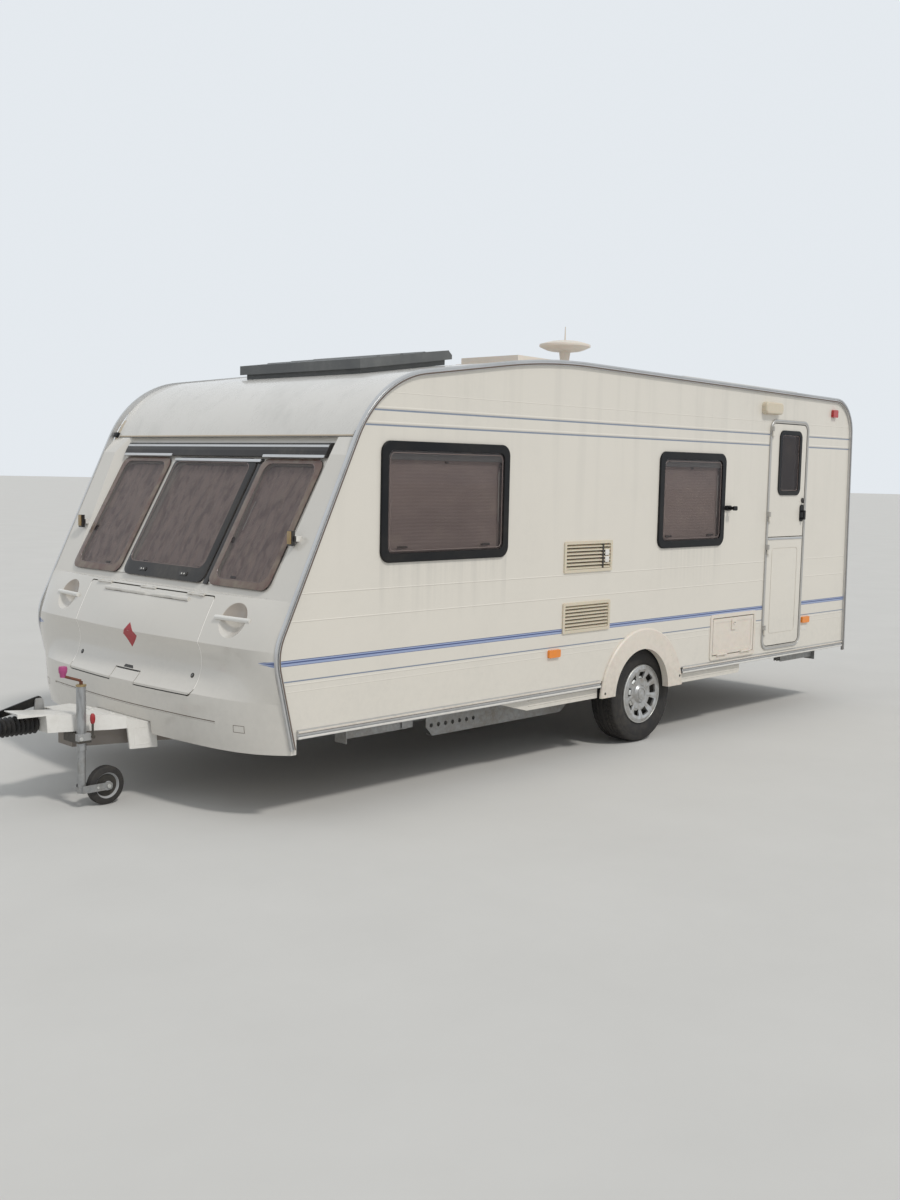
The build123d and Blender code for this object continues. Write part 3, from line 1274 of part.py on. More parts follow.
def on_roof(x_rear, x_front, y_low, y_high, height, sink=0):
    """Block whose foot follows the roof's slope."""
    corners = [(x_rear, roof_z(x_rear) - sink + SEAM, 0), (x_front, roof_z(x_front) - sink + SEAM, 0),
               (x_front, roof_z(x_front) + height, 0), (x_rear, roof_z(x_rear) + height, 0)]
    return side_prism(corners, y_low, y_high)


def rooflight_front():
    """Large grey hatch near the front of the roof."""
    base = on_roof(HATCH_X_REAR + 30, HATCH_X_FRONT - 30, 30 - HATCH_HALF, HATCH_HALF - 30, 36)
    lid = on_roof(HATCH_X_REAR, HATCH_X_FRONT, -HATCH_HALF, HATCH_HALF, HATCH_RISE) - on_roof(
        HATCH_X_REAR - 1, HATCH_X_FRONT + 1, -HATCH_HALF - 1, HATCH_HALF + 1, 30)
    top_edges = lid.edges().group_by(Axis.Z)
    lid = chamfer(top_edges[-1], 30)
    return base + lid


def rooflight_small():
    """Low white dome over the middle of the cabin."""
    front, mid_y, size = SMALL_HATCH
    half = size / 2
    return on_roof(front - size, front, mid_y - half, mid_y + half, 22) + on_roof(
        front - size + 26, front - 26, mid_y - half + 26, mid_y + half - 26, 62)


def solar_panel():
    """Flat panel on low feet near the door-side edge of the roof."""
    frame = on_roof(PANEL_X_REAR, PANEL_X_FRONT, PANEL_Y_IN, PANEL_Y_OUT, PANEL_T + PANEL_STAND)
    frame -= on_roof(PANEL_X_REAR - 1, PANEL_X_FRONT + 1, PANEL_Y_IN - 1, PANEL_Y_OUT + 1, PANEL_STAND)
    for x in (PANEL_X_REAR + 60, PANEL_X_FRONT - 160):
        frame += on_roof(x, x + 100, PANEL_Y_IN, PANEL_Y_IN + 60, PANEL_STAND + 2)
        frame += on_roof(x, x + 100, PANEL_Y_OUT - 60, PANEL_Y_OUT, PANEL_STAND + 2)
    return frame


def roof_aerial():
    """Round aerial on a short mast."""
    foot = roof_z(AERIAL_X + AERIAL_FOOT_R) + SEAM
    neck = AERIAL_NECK_R
    profile = [
        (0, foot, 0), (AERIAL_FOOT_R, foot, 0), (AERIAL_FOOT_R, foot + 10, 4), (neck, foot + 26, 6),
        (neck, AERIAL_Z - 112, 0), (neck + 3, AERIAL_Z - 104, 0), (neck + 11, AERIAL_Z - 42, 6),
        (110, AERIAL_Z - 34, 150), (AERIAL_R, AERIAL_Z - 8, 3), (AERIAL_R, AERIAL_Z + 7, 3),
        (90, AERIAL_Z + 30, 400), (5, AERIAL_Z + 36, 0), (3, AERIAL_Z + AERIAL_WHIP, 0),
        (0, AERIAL_Z + AERIAL_WHIP, 0),
    ]
    path = FilletPolyline(*[(r, z) for r, z, c in profile], radius=[row[2] for row in profile], close=True)
    dish = revolve(Plane.XZ * make_face(path), axis=Axis.Z)
    return Pos(AERIAL_X, AERIAL_Y, 0) * dish


# Lamps

def marker_lamps():
    """Front markers on brackets, orange side markers and the high rear markers."""
    markers = Part()
    x = at_height(CHIN, BROW, MARKER_Z)[0]
    markers += block((x - 8, x + 40), (MARKER_Y - 26, MARKER_Y + 26), (MARKER_Z - 20, MARKER_Z + 6))
    markers += block((x + 30, x + 52), (MARKER_Y - 17, MARKER_Y + 17), (MARKER_Z - 42, MARKER_Z + 32))
    markers -= front_pillars()
    for rect in SIDE_MARKERS:
        markers += side_rect(rect, BODY_HALF, BODY_HALF + 16, 8)
    markers += side_rect(HIGH_MARKER, BODY_HALF, BODY_HALF + 22, 10)
    return both_sides(markers)


def awning_lamp():
    """Cream lamp over the entrance door."""
    lamp = side_rect(AWNING_LAMP, BODY_HALF, BODY_HALF + 42, 30)
    return fillet(lamp.edges().group_by(Axis.Y)[-1], 12)


def rear_lamps():
    """Tall lamp clusters and one high lamp on the rear panel, with backs that follow its lean."""
    lamps = Part()
    for y_low, y_high, z_low, z_high, proud in REAR_LAMPS:
        face = at_height(TAIL, REAR_FOOT, (z_low + z_high) / 2)[0]
        lamp = block((face - proud, face + 10), (y_low, y_high), (z_low, z_high))
        lamps += chamfer(lamp.edges().group_by(Axis.X)[0], 8)
    foot, top = at_height(TAIL, REAR_FOOT, FLOOR_LOW), at_height(TAIL, REAR_FOOT, TAIL[1] - 20)
    behind = [foot, (TAIL[0] + 500, foot[1], 0), (TAIL[0] + 500, top[1], 0), top]
    return both_sides(lamps) - side_prism(behind, -CLEAR_Y, CLEAR_Y)


def number_plate():
    """Blank plate plinth on the rear panel."""
    face = at_height(TAIL, REAR_FOOT, sum(PLATE_Z) / 2)[0]
    return block((face - 16, face + 4), (-PLATE_HALF, PLATE_HALF), PLATE_Z)


NODES = {
    "wall_door_side": wall_door_side,
    "wall_far_side": wall_far_side,
    "roof_panel": roof_panel,
    "rear_panel": rear_panel,
    "front_panel": front_panel,
    "floor_panel": floor_panel,
    "wheel_boxes": wheel_boxes,
    "locker_bulkhead": locker_bulkhead,
    "gas_locker_lid": gas_locker_lid,
    "grab_handles": grab_handles,
    "front_window_frame": front_window_frame,
    "front_window_rail": front_window_rail,
    "window_frames": window_frames,
    "window_panes": window_panes,
    "window_blinds": window_blinds,
    "door_frame": door_frame,
    "door_lower_leaf": door_lower_leaf,
    "door_upper_leaf": door_upper_leaf,
    "door_window": door_window,
    "door_pane": door_pane,
    "door_handle": door_handle,
    "door_catch": door_catch,
    "service_locker_frame": service_locker_frame,
    "service_locker_door": service_locker_door,
    "fridge_vents": fridge_vents,
    "service_hatches": service_hatches,
    "awning_rails": awning_rails,
    "skirt_rails": skirt_rails,
    "skirt_panels": skirt_panels,
    "wheel_arch_trims": wheel_arch_trims,
    "chassis_frame": chassis_frame,
    "axle_beam": axle_beam,
    "coupling_head": coupling_head,
    "coupling_bellows": coupling_bellows,
    "handbrake_lever": handbrake_lever,
    "hitch_cover": hitch_cover,
    "jockey_tube": jockey_tube,
    "jockey_clamp": jockey_clamp,
    "jockey_leg": jockey_leg,
    "jockey_fork": jockey_fork,
    "jockey_wheel": jockey_wheel,
    "steady_brackets": steady_brackets,
    "rooflight_front": rooflight_front,
    "rooflight_small": rooflight_small,
    "solar_panel": solar_panel,
    "roof_aerial": roof_aerial,
    "marker_lamps": marker_lamps,
    "awning_lamp": awning_lamp,
    "rear_lamps": rear_lamps,
}


def main():
    os.makedirs("parts", exist_ok=True)
    bumper_face = at_height(TAIL, REAR_FOOT, SILL_LOW)[0] - 26
    to_middle = Pos(-(NOSE_X + bumper_face) / 2, 0, 0)
    solids = {name: maker() for name, maker in NODES.items()}
    for name, maker in (("tyre", tyre), ("rim", rim), ("wheel_trim", wheel_trim)):
        solids[name + "_door"] = maker()
        solids[name + "_far"] = mirror(maker(), about=Plane.XZ)
    for name, pivot_x, side, way in STEADIES:
        solids[name] = steady_leg(pivot_x, side, way)
    for name, solid in solids.items():
        export_step(to_middle * solid, f"parts/{name}.step")


main()
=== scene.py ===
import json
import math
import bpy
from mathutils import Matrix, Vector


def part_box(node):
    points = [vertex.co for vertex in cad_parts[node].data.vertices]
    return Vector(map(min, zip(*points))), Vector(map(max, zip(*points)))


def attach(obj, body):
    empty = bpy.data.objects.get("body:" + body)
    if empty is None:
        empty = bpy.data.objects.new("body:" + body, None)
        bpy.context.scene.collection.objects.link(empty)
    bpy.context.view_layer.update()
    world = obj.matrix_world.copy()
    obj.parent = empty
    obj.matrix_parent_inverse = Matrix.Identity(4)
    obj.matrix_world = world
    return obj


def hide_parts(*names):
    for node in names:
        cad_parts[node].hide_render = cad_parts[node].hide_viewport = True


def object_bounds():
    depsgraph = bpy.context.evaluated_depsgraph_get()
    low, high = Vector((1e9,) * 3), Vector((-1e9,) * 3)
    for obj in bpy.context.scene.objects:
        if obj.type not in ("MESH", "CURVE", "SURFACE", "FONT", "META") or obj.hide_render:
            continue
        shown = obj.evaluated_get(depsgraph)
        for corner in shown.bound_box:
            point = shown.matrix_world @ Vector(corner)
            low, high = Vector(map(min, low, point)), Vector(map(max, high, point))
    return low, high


bl_info = {
    "name": "Touring Caravan Finish",
    "version": (1, 0, 0),
    "blender": (4, 5, 0),
    "location": "View3D > Sidebar > Caravan",
    "description": "Paint, trim and fittings for a single-axle touring caravan",
    "category": "Object",
}

from functools import reduce

import bmesh
import bpy
import numpy as np
from bpy.props import FloatProperty, FloatVectorProperty, IntProperty, PointerProperty
from mathutils import Matrix, Vector

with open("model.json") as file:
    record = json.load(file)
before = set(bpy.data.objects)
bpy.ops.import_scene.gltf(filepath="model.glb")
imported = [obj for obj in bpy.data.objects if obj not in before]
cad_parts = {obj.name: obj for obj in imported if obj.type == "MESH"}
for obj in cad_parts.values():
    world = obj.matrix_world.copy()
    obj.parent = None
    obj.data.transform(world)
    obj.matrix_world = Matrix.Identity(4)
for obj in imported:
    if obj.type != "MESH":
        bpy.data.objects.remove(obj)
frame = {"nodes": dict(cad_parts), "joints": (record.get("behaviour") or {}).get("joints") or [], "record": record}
CAD_LOW, CAD_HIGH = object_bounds()

# Places that come from the frame, in metres
HUB_X, HUB_Y, HUB_Z = next(row["pos_m"] for row in frame["joints"] if row["name"] == "wheel_spin_door")
WALL_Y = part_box("wall_door_side")[1].y
RAIL_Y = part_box("awning_rails")[1].y
TYRE_LOW, TYRE_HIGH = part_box("tyre_door")
TYRE_R = (TYRE_HIGH.z - TYRE_LOW.z) / 2
TYRE_HALF = (TYRE_HIGH.y - TYRE_LOW.y) / 2

# Side outline of the body behind the wheel hubs and ahead of them. Columns: x from the hub, z, corner radius
OUTLINE = [
    (2.936, 0.369, 0.0), (3.049, 0.848, 0.285), (2.406, 2.200, 0.620), (1.089, 2.380, 5.000),
    (-2.530, 2.320, 0.260), (-2.579, 0.390, 0.0),
]
RAIL_INSERT = 0.0205

# Window plane of the raked front
GLASS_FOOT = Vector((HUB_X + 2.926, 0.0, 1.118))
GLASS_LEAN = math.radians(29.4)
GLASS_LENGTH = 0.752
GLASS_HALF = 0.936
CENTRE_HALF = 0.386
PANE_GAP = 0.040
PANE_OUT = 0.009
PANE_LOW, PANE_HIGH = 0.004, 0.748
PANE_CORNER = 0.055
SEAM_INSET, SEAM_TOP, SEAM_CORNER = 0.038, 0.024, 0.060
SEAM_RIDGE = 0.005
LATCH_Y = 0.195
STRIP_Z = 1.843
HANDLE_Y, HANDLE_Z, RECESS_R = 0.792, 0.985, 0.094

# Front moulding: lid, lock, groove, and the lip of the brow over the windows
LID_HALF, LID_LOW, LID_HIGH, LID_GAP = 0.588, 0.589, 1.074, 0.006
NOTCH_HALF, NOTCH_HIGH = 0.121, 0.653
LID_BAR_X, LID_BAR_Z, LID_BAR_R, LID_BAR_HALF, LID_BAR_BOW = 3.026, 1.048, 0.013, 0.400, 0.009
# Angle below level of the line of painted shade on the lid's bar
BAR_SHADE_DOWN = math.radians(48)
LOCK_Y, LOCK_Z, KEY_TURN = 0.537, 0.679, math.radians(-35)
DIAMOND_Z, DIAMOND_HALF = 0.832, 0.065
GROOVE_HALF, GROOVE_Z = 0.774, 0.483
OUTLINE_Y, OUTLINE_Z = 0.925, 0.464
LIP_HALF, LIP_CAP_Y, BROW_LIP_Z = 1.088, 1.112, 1.897
MARKER_X, MARKER_Y, MARKER_Z, MARKER_FACE = 2.7903, 0.992, 1.392, 0.0518

# Windows of the walls. Columns: side, x front, x rear, z low, z high
WALL_WINDOWS = [
    (1, 2.372, 1.408, 1.256, 1.877), (1, -0.027, -0.789, 1.259, 1.879),
    (-1, 2.372, 1.408, 1.256, 1.877), (-1, 0.620, -0.342, 1.256, 1.877), (-1, -1.640, -2.250, 1.400, 1.879),
]
WINDOW_RING, DOOR_WINDOW_RING = 0.046, 0.034
PANE_FACE = 0.008
BLIND_EDGE, BLIND_IN, CURTAIN_IN, CLOTH_THICKNESS = 0.050, 0.0225, 0.017, 0.0008
REAR_HALF_Y, REAR_HALF_Z, REAR_WINDOW_MID = 0.360, 0.2895, 1.5895
REAR_LEAN, OUTLINE_FOOT = 0.054, 0.200

# Fittings on the side walls. Hatches and vents: x front, x rear, z low, z high
DOOR_FRONT, DOOR_REAR, DOOR_LOW, DOOR_HIGH = -1.347, -1.888, 0.486, 2.137
DOOR_SPLIT = 1.300
DOOR_WINDOW = (-1.477, -1.786, 1.600, 2.063)
DOOR_HANDLE = (-1.826, 1.470)
FLAP_MID, FLAP_HALF, FLAP_LOW, FLAP_HIGH = -0.9725, 0.290, 0.475, 0.787
VENTS = [(0.903, 0.444, 1.141, 1.327), (0.903, 0.444, 0.780, 0.962)]
HATCHES = [(-0.560, -1.000, 0.520, 0.780), (-1.180, -1.580, 0.520, 0.860)]
ARCH_X, ARCH_Z, ARCH_R = 0.083, 0.318, 0.437
TRIM_OUT = 0.0178
SILL_LOW, SILL_HIGH = 0.421, 0.466
SILL_ENDS = [(2.898, 0.522), (-0.356, -2.546)]
SKIRT_ENDS = [(1.180, 0.524), (-0.360, -1.090)]

# Wheel trim: how far its face stands out from the wheel's middle. Columns: radius, out
TRIM_FACE = np.array([(0.050, 0.076), (0.112, 0.079), (0.164, 0.096), (0.192, 0.088)])
TRIM_HOLES = 9

# Hitch and jockey wheel
JOCKEY_X, JOCKEY_Y = 3.515, 0.190
JOCKEY_TRAIL, JOCKEY_WHEEL_R = 0.131, 0.100
FORK_FACE = 0.0368
TUBE_HIGH = 0.631
KNOB = (3.575, 0.120, 0.664)
CLAMP_LEVER = (3.475, 0.230, 0.384)
BRAKE = (3.600, -0.095, 0.520)
BRAKE_SLOPE = math.radians(13.5)
BRAKE_LENGTH, BRAKE_GRIP = 0.400, 0.130
BALL_X = 4.160
HEAD_BOLTS, HEAD_BOLT_Z = (3.955, 4.020), 0.424
COVER_PADS = [(3.30, 0.11), (3.30, -0.11), (3.36, 0.0)]
APRON_X, APRON_Z = 3.195, 0.338

# Roof and rear
AERIAL_SEAM_Z = 2.5555
LAMP_Y, LAMP_Z, LAMP_IN = 0.980, 0.825, 0.016
REFLECTOR_Y, REFLECTOR_Z = 0.80, 0.70
PLATE_HALF_Y, PLATE_HALF_Z, PLATE_Z = 0.258, 0.054, 0.700

# Swages pressed into the side walls. Columns: height, half width, how far they stand proud
SWAGES = [
    (2.118, 0.0030, 0.0010), (2.040, 0.0070, 0.0022), (1.964, 0.0070, 0.0022), (1.128, 0.0040, 0.0018),
    (0.995, 0.0040, 0.0018), (0.690, 0.0040, 0.0015), (0.655, 0.0030, 0.0010),
]
SWAGE_IN_FRONT, SWAGE_IN_REAR, SWAGE_CLEAR, SWAGE_SHORTEST = 0.034, 0.030, 0.004, 0.05

# Painted lines. Columns: height, half width, colour name. Those near the band run on round the front.
BAND_Z, LINE_SOFT = 0.797, 0.0006
LINES = [
    (2.028, 0.0045, "grey_blue"), (1.952, 0.0045, "grey_blue"), (BAND_Z, 0.0135, "pale_blue"),
    (0.810, 0.0016, "deep_blue"), (0.799, 0.0032, "deep_blue"), (0.784, 0.0012, "deep_blue"),
    (0.707, 0.0034, "grey_blue"),
]

COLOURS = {
    "wall": (0.755, 0.715, 0.645), "moulding": (0.680, 0.650, 0.600), "cream": (0.690, 0.610, 0.480),
    "ivory": (0.780, 0.710, 0.630), "black": (0.012, 0.013, 0.016), "rubber": (0.008, 0.009, 0.011),
    "pale_blue": (0.330, 0.400, 0.600), "deep_blue": (0.055, 0.085, 0.230),
    "grey_blue": (0.230, 0.270, 0.350),
    # On the next line the second colour is grey road dirt, and also painted shade under the side windows.
    "dirt": (0.300, 0.260, 0.200), "grey_dirt": (0.300, 0.300, 0.285), "dust": (0.420, 0.350, 0.250),
    "alu": (0.620, 0.620, 0.620), "brown": (0.130, 0.095, 0.075), "beige": (0.560, 0.470, 0.360),
    "zinc": (0.420, 0.430, 0.440), "dark_zinc": (0.24, 0.25, 0.26), "silver": (0.500, 0.510, 0.520),
    "dull_silver": (0.30, 0.27, 0.235), "tyre": (0.026, 0.026, 0.028), "tint": (0.060, 0.046, 0.046),
    "pink_tint": (0.165, 0.098, 0.084), "cloth": (0.700, 0.540, 0.490), "cloth_dark": (0.400, 0.300, 0.280),
    "cover": (0.800, 0.785, 0.750), "frame_alu": (0.460, 0.445, 0.420), "dark_steel": (0.035, 0.034, 0.033),
    "seam": (0.190, 0.145, 0.135), "brass": (0.400, 0.300, 0.150), "rust": (0.190, 0.065, 0.035),
    "drawbar": (0.260, 0.235, 0.220), "marker_white": (0.780, 0.760, 0.720), "plate": (0.780, 0.780, 0.760),
    "knob": (0.440, 0.065, 0.220), "clip": (0.030, 0.028, 0.028), "inside": (0.050, 0.045, 0.040),
    "amber": (0.900, 0.260, 0.010), "old_amber": (0.330, 0.215, 0.075), "red": (0.460, 0.012, 0.014),
    "clamp_red": (0.380, 0.012, 0.022), "plywood": (0.200, 0.150, 0.100), "dark_plywood": (0.13, 0.09, 0.06),
    # On the next line the third colour is painted shade, for the hand recesses of the front moulding.
    "roof": (0.720, 0.700, 0.665), "seal": (0.930, 0.900, 0.850), "dish": (0.330, 0.265, 0.215),
    "lining": (0.560, 0.480, 0.370), "hatch": (0.105, 0.110, 0.112), "hatch_side": (0.300, 0.310, 0.310),
    "lens": (0.750, 0.750, 0.720), "cell": (0.012, 0.018, 0.050), "cell_grid": (0.30, 0.31, 0.33),
    "floor": (0.640, 0.630, 0.610), "dark_floor": (0.58, 0.57, 0.55), "sky": (0.780, 0.820, 0.860),
    "soft_light": (0.93, 0.97, 1.0),
}

SETTINGS = None
FINISH = {}


# Surfaces. Each gives an array of points and a list of faces.

def quads(rows, columns, loop_rows, loop_columns):
    """Faces of a grid whose point (i, j) has number i * columns + j. A loop joins the last row or column
    to the first."""
    i = np.arange(rows if loop_rows else rows - 1)[:, None]
    j = np.arange(columns if loop_columns else columns - 1)[None, :]
    down, right = (i + 1) % rows, (j + 1) % columns
    corners = [i * columns + j, i * columns + right, down * columns + right, down * columns + j]
    return np.stack(corners, axis=-1).reshape(-1, 4).tolist()


def skin(rings, loop=False, caps=True):
    """Surface through closed rings of equal length, given as an array (ring, point, axis).
    With loop the last ring joins the first; otherwise each end is closed by one flat face."""
    rings = np.asarray(rings, float)
    count, size = rings.shape[:2]
    faces = quads(count, size, loop, True)
    if caps and not loop:
        faces.append(list(range(size))[::-1])
        faces.append(list(range((count - 1) * size, count * size)))
    return rings.reshape(-1, 3), faces


def joined(parts):
    """Several surfaces as one, with the numbers of each one's faces moved past the points before it."""
    points, faces, start = [], [], 0
    for more, rows in parts:
        points.append(more)
        faces.extend([[number + start for number in row] for row in rows])
        start += len(more)
    return np.concatenate(points), faces


def placed(part, place):
    """The part's points times the place matrix."""
    matrix = np.array(place)
    return part[0] @ matrix[:3, :3].T + matrix[:3, 3], part[1]


def lifted(outline, height):
    """A flat (u, v) outline at a height along the normal."""
    return np.column_stack([outline, np.full(len(outline), height)])


def ring_angles(count):
    return np.arange(count) * 2 * math.pi / count


def rectangle(half_u, half_v, radius, steps=6):
    """Closed outline of a rectangle with round corners: each corner is a quarter circle of the radius
    about a centre that lies the radius inside both edges."""
    radius = max(radius, 1e-5)
    angle = np.linspace(0, math.pi / 2, steps + 1)
    turns = (np.arange(4)[:, None] * math.pi / 2 + angle[None, :]).ravel()
    sign_u = np.repeat([1, -1, -1, 1], steps + 1)
    sign_v = np.repeat([1, 1, -1, -1], steps + 1)
    u = sign_u * (half_u - radius) + radius * np.cos(turns)
    v = sign_v * (half_v - radius) + radius * np.sin(turns)
    return np.stack([u, v], axis=1)


def plate(half_u, half_v, radius, levels, steps=6, loop=False):
    """Rounded rectangles stacked along the normal. Each level is (inset, height), where the outline is drawn
    in by the inset and lifted by the height. With loop the stack closes on itself as a ring."""
    rings = [lifted(rectangle(half_u - inset, half_v - inset, radius - inset, steps), height)
             for inset, height in levels]
    return skin(rings, loop=loop)


def button(half_u, half_v, radius, height, soft, steps=6):
    """Raised pad with a quarter-round edge: at angle a the inset is soft * (1 - cos a) and the height is
    (height - soft) + soft * sin a."""
    angle = np.linspace(0, math.pi / 2, 4)
    levels = [(0.0, 0.0)] + list(zip(soft * (1 - np.cos(angle)), height - soft + soft * np.sin(angle)))
    return plate(half_u, half_v, radius, levels, steps)


def frame_ring(half_u, half_v, radius, width, height, soft, steps=8):
    """Raised ring between the outline and the outline drawn in by width, with soft upper edges."""
    low = height - soft
    levels = [(0, 0), (0, low), (soft, height), (width - soft, height), (width, low), (width, 0)]
    return plate(half_u, half_v, radius, levels, steps, loop=True)


def box_outline(left, right, low, high, radius, steps=6):
    """Closed outline of the rectangle between four edges, with round corners."""
    outline = rectangle((right - left) / 2, (high - low) / 2, radius, steps)
    return outline + ((left + right) / 2, (low + high) / 2)


def pad(left, right, low, high, radius, height, soft=0.0008, steps=4):
    """Raised pad between four edges."""
    points, faces = button((right - left) / 2, (high - low) / 2, radius, height, soft, steps)
    return points + ((left + right) / 2, (low + high) / 2, 0.0), faces


def pads(rows, radius, height, soft=0.0008):
    """Raised pads, one for each (u, v, half u, half v)."""
    return [pad(u - half_u, u + half_u, v - half_v, v + half_v, radius, height, soft)
            for u, v, half_u, half_v in rows]


def between(outer, inner, levels):
    """Ring between two closed outlines with as many points. At a level (share, height) its points are
    outer + share * (inner - outer), lifted by the height."""
    return skin([lifted(outer + share * (inner - outer), height) for share, height in levels], loop=True)


def dense(corners, count=10):
    """Closed outline through straight-edged corners with count points on each edge: corner + share * edge."""
    corners = np.asarray(corners, float)
    share = np.linspace(0, 1, count, endpoint=False)[None, :, None]
    return (corners[:, None] + share * (np.roll(corners, -1, axis=0) - corners)[:, None]).reshape(-1, 2)


def turned(profile, sides=32, loop=False):
    """Rows of (radius, height) turned about the local normal: the point at angle a is
    (radius cos a, radius sin a, height)."""
    angle = ring_angles(sides)
    rows = np.asarray(profile, float)
    radius, height = rows[:, :1], np.repeat(rows[:, 1:2], sides, axis=1)
    return skin(np.stack([radius * np.cos(angle), radius * np.sin(angle), height], axis=-1), loop=loop)


def carried(profile, path, normal):
    """A closed profile carried along a path. At each point of the path the side is the tangent times the
    normal, and profile point (a, b) goes to point + a * side + b * normal."""
    path = np.asarray(path, float)
    normal = np.broadcast_to(np.asarray(normal, float), path.shape)
    side = np.cross(np.gradient(path, axis=0), normal)
    side /= np.linalg.norm(side, axis=1, keepdims=True)
    across = profile[None, :, :1] * side[:, None]
    return skin(path[:, None] + across + profile[None, :, 1:2] * normal[:, None])


def lens(half, height, foot=0.0004, steps=6):
    """Closed flat-bottomed profile on a low foot. Its top is a half sine: height * sin(pi * s) over the
    width."""
    share = np.linspace(0, 1, steps + 1)
    top = np.stack([half * (1 - 2 * share), height * np.sin(math.pi * share)], axis=1)
    return np.vstack([[(half, -foot)], top, [(-half, -foot)]])


def rounded_line(corners, steps=24):
    """Open run of (across, up, radius) corners, each turned by an arc tangent to both its sides. The arc's
    centre lies radius / sin(half the corner's angle) from the corner, on the line that halves it."""
    points = [np.array([corners[0][:2]])]
    for before, here, after in zip(corners, corners[1:], corners[2:]):
        mid = np.array(here[:2])
        back, ahead = np.array(before[:2]) - mid, np.array(after[:2]) - mid
        back, ahead = back / np.linalg.norm(back), ahead / np.linalg.norm(ahead)
        half = math.acos(float(np.clip(back @ ahead, -1, 1))) / 2
        reach = here[2] / math.tan(half)
        centre = mid + (back + ahead) / np.linalg.norm(back + ahead) * here[2] / math.sin(half)
        first, last = mid + back * reach - centre, mid + ahead * reach - centre
        share = np.linspace(0, 1, steps)[:, None]
        turn = math.pi - 2 * half
        arc = (np.sin((1 - share) * turn) * first + np.sin(share * turn) * last) / math.sin(turn)
        points.append(centre + arc)
    points.append(np.array([corners[-1][:2]]))
    return np.vstack(points)


# Places on the vehicle

def at(x):
    """Row-frame x of a place measured from the wheel hubs."""
    return HUB_X + x


def on_wall(x, z, side=1, proud=0.0):
    """Local axes on a side wall: u along the wall, v up, normal outwards."""
    return Matrix((
        (-side, 0, 0, at(x)), (0, 0, side, side * (WALL_Y + proud)), (0, 1, 0, z), (0, 0, 0, 1)))


def rear_window_place(proud=0.0):
    """Local axes in the middle of the rear window, on the leaning rear wall, normal outwards."""
    lean = math.atan2(REAR_LEAN, OUTLINE[4][1] - OUTLINE_FOOT)
    x = OUTLINE[4][0] - (OUTLINE[4][1] - REAR_WINDOW_MID) * math.tan(lean)
    axes = Matrix(((0, 0, -1, 0), (-1, 0, 0, 0), (0, 1, 0, 0), (0, 0, 0, 1)))
    place = Matrix.Translation((at(x), 0.0, REAR_WINDOW_MID)) @ Matrix.Rotation(lean, 4, "Y") @ axes
    return raised(place, proud)


def raised(place, out):
    """The place moved along its own normal."""
    return place @ Matrix.Translation((0, 0, out))


def on_glass(out=0.0):
    """Local axes on the plane of the front windows: u across, v up the slope, normal outwards."""
    sine, cosine = math.sin(GLASS_LEAN), math.cos(GLASS_LEAN)
    origin = GLASS_FOOT + Vector((cosine * out, 0, sine * out))
    return Matrix((
        (0, -sine, cosine, origin.x), (1, 0, 0, origin.y), (0, cosine, sine, origin.z), (0, 0, 0, 1)))


def on_surface(node, start, way):
    """Point and outward normal where a ray meets a CAD node."""
    hit, point, normal, index = frame["nodes"][node].ray_cast(Vector(start), Vector(way).normalized())
    if not hit:
        raise RuntimeError(f"no surface of {node} from {start}")
    return point, normal


def facing(node, start, way, proud=0.0):
    """Local axes where a ray meets a CAD node: v as near to up as the surface allows."""
    point, normal = on_surface(node, start, way)
    across = Vector((0, 0, 1)).cross(normal).normalized()
    axes = Matrix((across, normal.cross(across), normal)).transposed().to_4x4()
    return Matrix.Translation(point + normal * proud) @ axes


def ahead_of(y, z):
    """Start of a ray that comes from the front."""
    return CAD_HIGH.x + 1, y, z


def draped(node, places):
    """Points and normals of a CAD node's surface under a row of (y, z) places, seen from the front."""
    found = [on_surface(node, ahead_of(y, z), (-1, 0, 0)) for y, z in places]
    return np.array([row[0] for row in found]), np.array([row[1] for row in found])


def front_strip(node, start, end, half, height, aside=(0, 0), depth=0.0):
    """Strip along a straight (y, z) line in the front view. The surface is felt aside of the line, and the
    strip lies at that depth below it."""
    share = np.linspace(0, 1, 48)[:, None]
    line = np.array(start) + share * (np.array(end) - np.array(start))
    points, normals = draped(node, line + aside)
    return carried(lens(half, height), points - (0, *aside) - normals * depth, normals)


def front_patch(node, outline, height):
    """Thin patch over a closed (y, z) outline in the front view: rings of the outline drawn towards its
    middle by each scale, laid on the surface, on a skirt that reaches 1 mm under it."""
    middle = outline.mean(axis=0)
    rings = []
    for scale in (1.0, 0.85, 0.7, 0.55, 0.4, 0.3, 0.2, 0.1):
        points, normals = draped(node, middle + scale * (outline - middle))
        if not rings:
            rings.append(points - normals * 0.001)
        rings.append(points + normals * height)
    return skin(rings)


def front_frame(node, outer, inner, height):
    """Thin ring between two (y, z) outlines in the front view, laid on the surface."""
    rings = []
    for outline, lifts in ((outer, (-0.001, height)), (inner, (height, -0.001))):
        points, normals = draped(node, outline)
        rings += [points + normals * lift for lift in lifts]
    return skin(rings, loop=True)


def on_wheel(side, turn=0.0):
    """Local axes in a wheel's middle: v points away from the axle at that turn, normal outwards."""
    cosine, sine = math.cos(turn), math.sin(turn)
    return Matrix((
        (-side * sine, cosine, 0, HUB_X), (0, 0, side, side * HUB_Y), (side * cosine, sine, 0, HUB_Z),
        (0, 0, 0, 1)))


def spot(x, y, z, normal="z"):
    """Local axes at a point measured from the wheel hubs, with the normal along one axis."""
    axes = {
        "z": ((1, 0, 0), (0, 1, 0), (0, 0, 1)), "x": ((0, 0, 1), (1, 0, 0), (0, 1, 0)),
        "y": ((-1, 0, 0), (0, 0, 1), (0, 1, 0)), "-y": ((1, 0, 0), (0, 0, -1), (0, 1, 0)),
    }[normal]
    return Matrix([(*row, value) for row, value in zip(axes, (at(x), y, z))] + [(0, 0, 0, 1)])


# Making pieces

